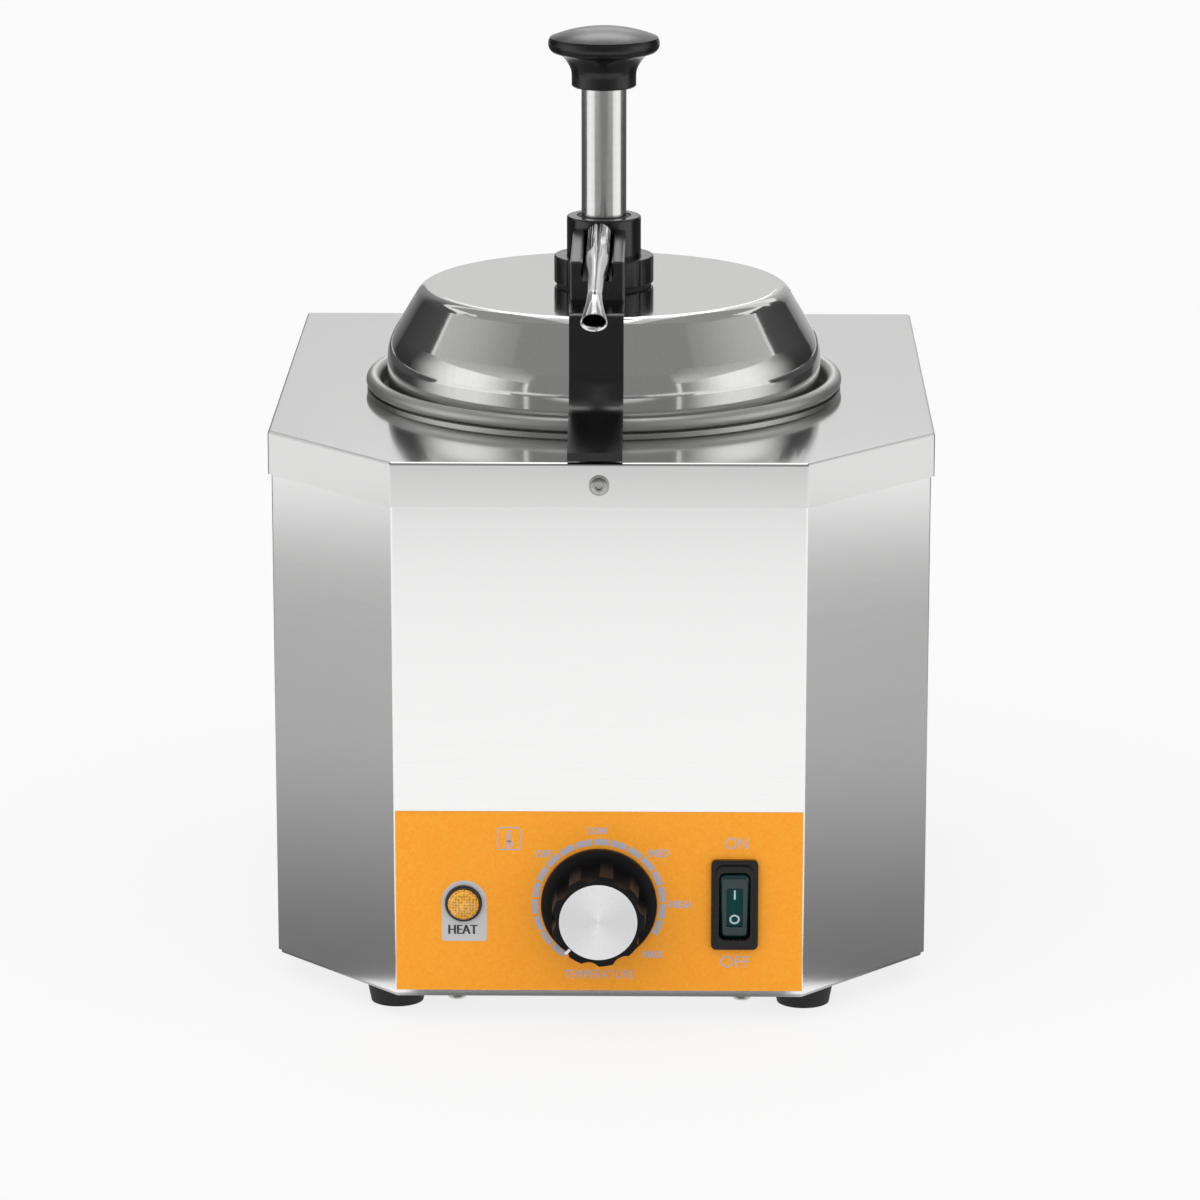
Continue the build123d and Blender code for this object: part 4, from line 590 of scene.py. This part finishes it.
# The facets' colour goes from dark brown to bright amber by this pattern: painted highlights, not the amber's
# own tone.
jewel_sparkle_pattern = amber_nodes.new("ShaderNodeTexVoronoi")
jewel_sparkle_pattern.distance = "CHEBYCHEV"
jewel_sparkle_pattern.inputs["Scale"].default_value = 900
jewel_sparkle_pattern.inputs["Randomness"].default_value = 0.35
jewel_painted_sparkle = amber_nodes.new("ShaderNodeMapRange")
jewel_painted_sparkle.inputs["From Max"].default_value = 0.55
amber_links.new(amber_nodes["Mapping"].outputs["Vector"], jewel_sparkle_pattern.inputs["Vector"])
amber_links.new(jewel_sparkle_pattern.outputs["Distance"], jewel_painted_sparkle.inputs["Value"])
amber_links.new(jewel_painted_sparkle.outputs["Result"], amber_nodes["Mix"].inputs["Factor"])
lens_low, lens_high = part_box("lamp_lens")
lens_middle = (lens_low + lens_high) / 2
lens_radius = (lens_high.x - lens_low.x) / 2
lens_rise = (lens_high.y - lens_low.y) * 0.62
lens_fit = 0.985
bpy.ops.object.select_all(action="DESELECT")
bpy.ops.mesh.primitive_uv_sphere_add(
    segments=20, ring_count=14, radius=1,
    location=(lens_middle.x, lens_low.y + lens_rise, lens_middle.z), rotation=(pi / 2, 0, 0),
)
jewel_lens = bpy.context.object
jewel_lens.scale = (lens_radius * lens_fit, lens_radius * lens_fit, lens_rise)
bpy.ops.object.transform_apply(location=True, rotation=True, scale=True)
bpy.ops.object.mode_set(mode="EDIT")
bpy.ops.mesh.select_all(action="SELECT")
bpy.ops.mesh.bisect(
    plane_co=(0, lens_low.y + lens_rise, 0), plane_no=(0, 1, 0), use_fill=True, clear_outer=True
)
bpy.ops.object.mode_set(mode="OBJECT")
settle(jewel_lens, "jewel_lens", amber, "housing")
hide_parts("lamp_lens")

# Temperature dial: a moulded phenolic knob with a wide skirt and nine hollow flutes for the
# fingers. A spun aluminium disc is pressed into its face, and a white line marks where it points.
dial_plastic = grained(
    "dial_plastic_satin", 0.0, (0.006, 0.006, 0.007), (0.011, 0.011, 0.012), (0.26, 0.38), 1300, relief=0.004
)
dial_plastic.node_tree.nodes["Principled BSDF"].inputs["Specular IOR Level"].default_value = 0.08
coat(dial_plastic, "temperature_dial")
spun_aluminium = grained(
    "spun_aluminium", 1.0, (0.74, 0.74, 0.75), (0.84, 0.84, 0.85), (0.2, 0.3), 900, relief=0.001
)
spun_nodes, spun_links = spun_aluminium.node_tree.nodes, spun_aluminium.node_tree.links
spun_centre = spun_nodes["Mapping"]
spun_centre.inputs["Location"].default_value = (0, 0, -control_z)
spun_rings = spun_nodes.new("ShaderNodeTexWave")
spun_rings.wave_type = "RINGS"
spun_rings.rings_direction = "Y"
spun_rings.inputs["Scale"].default_value = 700
spun_rings.inputs["Distortion"].default_value = 1.5
spun_links.new(spun_centre.outputs["Vector"], spun_rings.inputs["Vector"])
spun_nodes["Bump"].inputs["Distance"].default_value = 0.01 * mm
spun_links.new(spun_rings.outputs["Fac"], spun_nodes["Bump"].inputs["Height"])
spun_face = spun_nodes["Principled BSDF"]
spun_face.inputs["Anisotropic"].default_value = 0.9
spun_turn = spun_nodes.new("ShaderNodeTangent")
spun_turn.direction_type = "RADIAL"
spun_turn.axis = "Y"
spun_links.new(spun_turn.outputs["Tangent"], spun_face.inputs["Tangent"])
coat(spun_aluminium, "dial_cap")
pointer_white = grained(
    "pointer_white", 0.0, (0.68, 0.68, 0.7), (0.78, 0.78, 0.8), (0.35, 0.5), 1500, relief=0.004
)
pointer_turn = radians(-135)
pointer_reach = 16.6 * mm
pointer_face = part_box("temperature_dial")[0].y
bpy.ops.object.select_all(action="DESELECT")
bpy.ops.mesh.primitive_cube_add(
    size=1,
    location=(pointer_reach * sin(pointer_turn), pointer_face, control_z + pointer_reach * cos(pointer_turn)),
    rotation=(0, pointer_turn, 0),
)
dial_pointer = bpy.context.object
dial_pointer.scale = (1.1 * mm, 0.5 * mm, 2.6 * mm)
bpy.ops.object.transform_apply(location=True, rotation=True, scale=True)
bpy.ops.object.mode_set(mode="EDIT")
bpy.ops.mesh.select_all(action="SELECT")
bpy.ops.mesh.bevel(offset=0.12 * mm, offset_pct=0, segments=2, affect="EDGES")
bpy.ops.object.mode_set(mode="OBJECT")
settle(dial_pointer, "dial_pointer", pointer_white, "dial")

# Power switch: a stepped black nylon frame snapped into the panel, a sealed silicone boot, and a
# green lit rocker inside it with the usual line and ring moulded on.
switch_black = grained(
    "switch_nylon", 0.0, (0.006, 0.006, 0.006), (0.016, 0.016, 0.017), (0.2, 0.32), 1400, relief=0.004
)
switch_black.node_tree.nodes["Principled BSDF"].inputs["Specular IOR Level"].default_value = 0.25
coat(switch_black, "switch_frame")
switch_silicone = grained(
    "switch_silicone_teal", 0.0, (0.001, 0.016, 0.018), (0.002, 0.024, 0.026), (0.18, 0.3), 700, relief=0.006
)
silicone_face = switch_silicone.node_tree.nodes["Principled BSDF"]
silicone_face.inputs["Coat Weight"].default_value = 0.3
silicone_face.inputs["Coat Roughness"].default_value = 0.12
coat(switch_silicone, "switch_boot")
rocker_green = grained(
    "rocker_green_gloss", 0.0, (0.001, 0.035, 0.042), (0.003, 0.05, 0.058), (0.12, 0.22), 700, relief=0.004
)
rocker_green.node_tree.nodes["Principled BSDF"].inputs["Specular IOR Level"].default_value = 0.1
coat(rocker_green, "switch_rocker")
switch_x, rocker_tilt = 52.5 * mm, radians(8)
rocker_hinge = Matrix.Translation((switch_x, film_front, control_z))
rocker_place = rocker_hinge @ Matrix.Rotation(pi / 2 + rocker_tilt, 4, "X")
rocker_face_z = 3.12 * mm
mark_ink = grained("rocker_mark_ink", 0.0, (0.4, 0.55, 0.53), (0.55, 0.68, 0.66), (0.3, 0.4), 1500)


def rocker_mark(name, y, width, height, corner, line=0.0):
    """A small moulded mark on the rocker's face, in mm along it."""
    mark = outline(0, 0, width, height, corner, line)
    mark.data.transform(Matrix.Rotation(radians(-90), 4, "X") @ Matrix.Translation((0, -print_front, 0)))
    mark.data.transform(rocker_place @ Matrix.Translation((0, y * mm, rocker_face_z)))
    settle(mark, name, mark_ink, "rocker")


rocker_mark("rocker_line", 5.2, 0.7, 4.0, 0.2)
rocker_mark("rocker_ring", -5.2, 4.0, 4.0, 1.98, 0.7)

# Cable gland: a black nylon gland with a domed nut that squeezes a rubber grip round the cord. A
# locknut holds it through the rear panel.
gland_black = grained(
    "gland_nylon", 0.0, (0.01, 0.01, 0.01), (0.024, 0.024, 0.025), (0.34, 0.5), 1100, relief=0.006
)
coat(gland_black, "gland_body", "gland_dome", "gland_locknut")

# Lid: a pressed stainless steel lid, polished bright, with a flat top, a rounded shoulder and a
# plain skirt that stands on the ledge inside the jar's neck.
lid_steel = grained(
    "lid_steel_polished", 1.0, (0.66, 0.66, 0.65), (0.74, 0.74, 0.73), (0.06, 0.11), 900, (1, 1, 1), 0.0008
)
coat(lid_steel, "lid")

# Ring nut: a black moulded nut with shallow grip flutes that clamps the barrel's flange to the lid.
# Its edges are a little rounded, as a mould leaves them.
nut_plastic = grained(
    "nut_plastic_satin", 0.0, (0.004, 0.004, 0.004), (0.008, 0.008, 0.009), (0.18, 0.28), 1200, relief=0.004
)


def worked_copy(node, whole_flats=False):
    """A selected copy of a piece of the frame, welded into one mesh, with each flat one face if asked."""
    bpy.ops.object.select_all(action="DESELECT")
    piece = frame["nodes"][node].copy()
    piece.data = piece.data.copy()
    del piece["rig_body"], piece["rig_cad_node"]
    piece.parent = None
    bpy.context.collection.objects.link(piece)
    piece.select_set(True)
    bpy.context.view_layer.objects.active = piece
    bpy.ops.object.mode_set(mode="EDIT")
    bpy.ops.mesh.select_all(action="SELECT")
    bpy.ops.mesh.remove_doubles(threshold=1e-6)
    if whole_flats:
        bpy.ops.mesh.dissolve_limited(angle_limit=radians(0.5))
    bpy.ops.object.mode_set(mode="OBJECT")
    return piece


nut_moulding = worked_copy("ring_nut", whole_flats=True)
broken_edges = nut_moulding.modifiers.new("broken_edges", "BEVEL")
broken_edges.width = 0.5 * mm
broken_edges.segments = 2
broken_edges.limit_method = "ANGLE"
broken_edges.angle_limit = radians(32)
bpy.ops.object.modifier_apply(modifier=broken_edges.name)
bpy.ops.object.shade_smooth_by_angle(angle=radians(34))
settle(nut_moulding, "ring_nut_moulding", nut_plastic, "lid")
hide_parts("ring_nut")

# Collar and arm: one black glass filled nylon moulding. The collar caps the barrel, and the forked
# arm carries the spout over the lid and drops to the deck's front edge.
arm_plastic = grained(
    "arm_plastic_satin", 0.0, (0.001, 0.001, 0.001), (0.0025, 0.0025, 0.003), (0.16, 0.22), 1300, relief=0.003
)
arm_plastic.node_tree.nodes["Principled BSDF"].inputs["IOR"].default_value = 1.6
coat(arm_plastic, "collar_arm")

# Pump: a stainless steel barrel and plunger, with a white plastic piston and foot valve. The plunger
# tube is ground and polished, and the barrel has a plain turned face.
pump_steel = grained(
    "pump_steel_turned", 1.0, (0.48, 0.48, 0.47), (0.62, 0.62, 0.61), (0.18, 0.3), 1200, turned_lay, 0.002
)
coat(pump_steel, "pump_barrel")
coat(white_plastic, "valve_body", "piston")
bright_steel = grained(
    "bright_steel_ground", 1.0, (0.7, 0.7, 0.69), (0.8, 0.8, 0.79), (0.14, 0.18), 1500, turned_lay, 0.0005
)
coat(bright_steel, "plunger_tube", "outlet_pin", "ball_pin", "inlet_ball", "outlet_ball")

# Return spring: a coil of stainless wire between the piston and the foot valve. It closes up as the
# knob is pressed; here a smooth shaded copy of the frame's coil takes the frame's one's place.
spring_steel = grained(
    "spring_steel_drawn", 1.0, (0.42, 0.42, 0.42), (0.58, 0.58, 0.57), (0.22, 0.34), 1600, relief=0.004
)
spring_coil = worked_copy("return_spring")
bpy.ops.object.shade_smooth_by_angle(angle=radians(40))
settle(spring_coil, "closing_coil", spring_steel, "lid")
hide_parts("return_spring")
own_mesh(spring_coil)

# Spout: a bent and flared tube of brass, chrome plated and polished to a mirror outside. The faces inside
# the tube are painted a dark brown: painted shade for the deep inside of the tube.
spout_chrome = grained(
    "spout_chrome_mirror", 1.0, (0.8, 0.8, 0.81), (0.88, 0.88, 0.89), (0.1, 0.15), 600, relief=0.0004
)
plated_spout = worked_copy("spout")
bpy.ops.object.shade_smooth_by_angle(angle=radians(40))
spout_mesh = plated_spout.data
spout_walls = BVHTree.FromPolygons(
    [vertex.co for vertex in spout_mesh.vertices], [face.vertices for face in spout_mesh.polygons]
)
# Faces that look onto another wall of the spout are the inside of the tube; they are marked to take the
# painted shade.
bore_shade = spout_mesh.attributes.new("bore_shade", "FLOAT_COLOR", "CORNER")
off_wall, across_bore = 0.05 * mm, 14 * mm
for face in spout_mesh.polygons:
    start = face.center + face.normal * off_wall
    inside = spout_walls.ray_cast(start, face.normal, across_bore)[0] is not None
    for corner in face.loop_indices:
        bore_shade.data[corner].color = (1, 1, 1, 1) if inside else (0, 0, 0, 1)
spout_nodes, spout_links = spout_chrome.node_tree.nodes, spout_chrome.node_tree.links
bore_shade_mask = spout_nodes.new("ShaderNodeAttribute")
bore_shade_mask.attribute_name = "bore_shade"
bore_painted_shade = spout_nodes.new("ShaderNodeMix")
bore_painted_shade.data_type = "RGBA"
# The painted shade inside the tube: a dark brown in place of the chrome's own colour.
bore_painted_shade.inputs["B"].default_value = (0.02, 0.014, 0.01, 1)
spout_links.new(bore_shade_mask.outputs["Fac"], bore_painted_shade.inputs["Factor"])
spout_links.new(spout_nodes["Mix"].outputs["Result"], bore_painted_shade.inputs["A"])
spout_links.new(bore_painted_shade.outputs["Result"], spout_nodes["Principled BSDF"].inputs["Base Color"])
settle(plated_spout, "plated_spout", spout_chrome, "lid")
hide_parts("spout")

# Pump knob: a solid black phenolic knob with a domed top, turned, buffed and screwed on the top of
# the plunger tube.
knob_plastic = grained(
    "knob_plastic_gloss", 0.0, (0.003, 0.003, 0.003), (0.006, 0.006, 0.006), (0.2, 0.28), 1200, relief=0.002
)
coat(knob_plastic, "pump_knob")
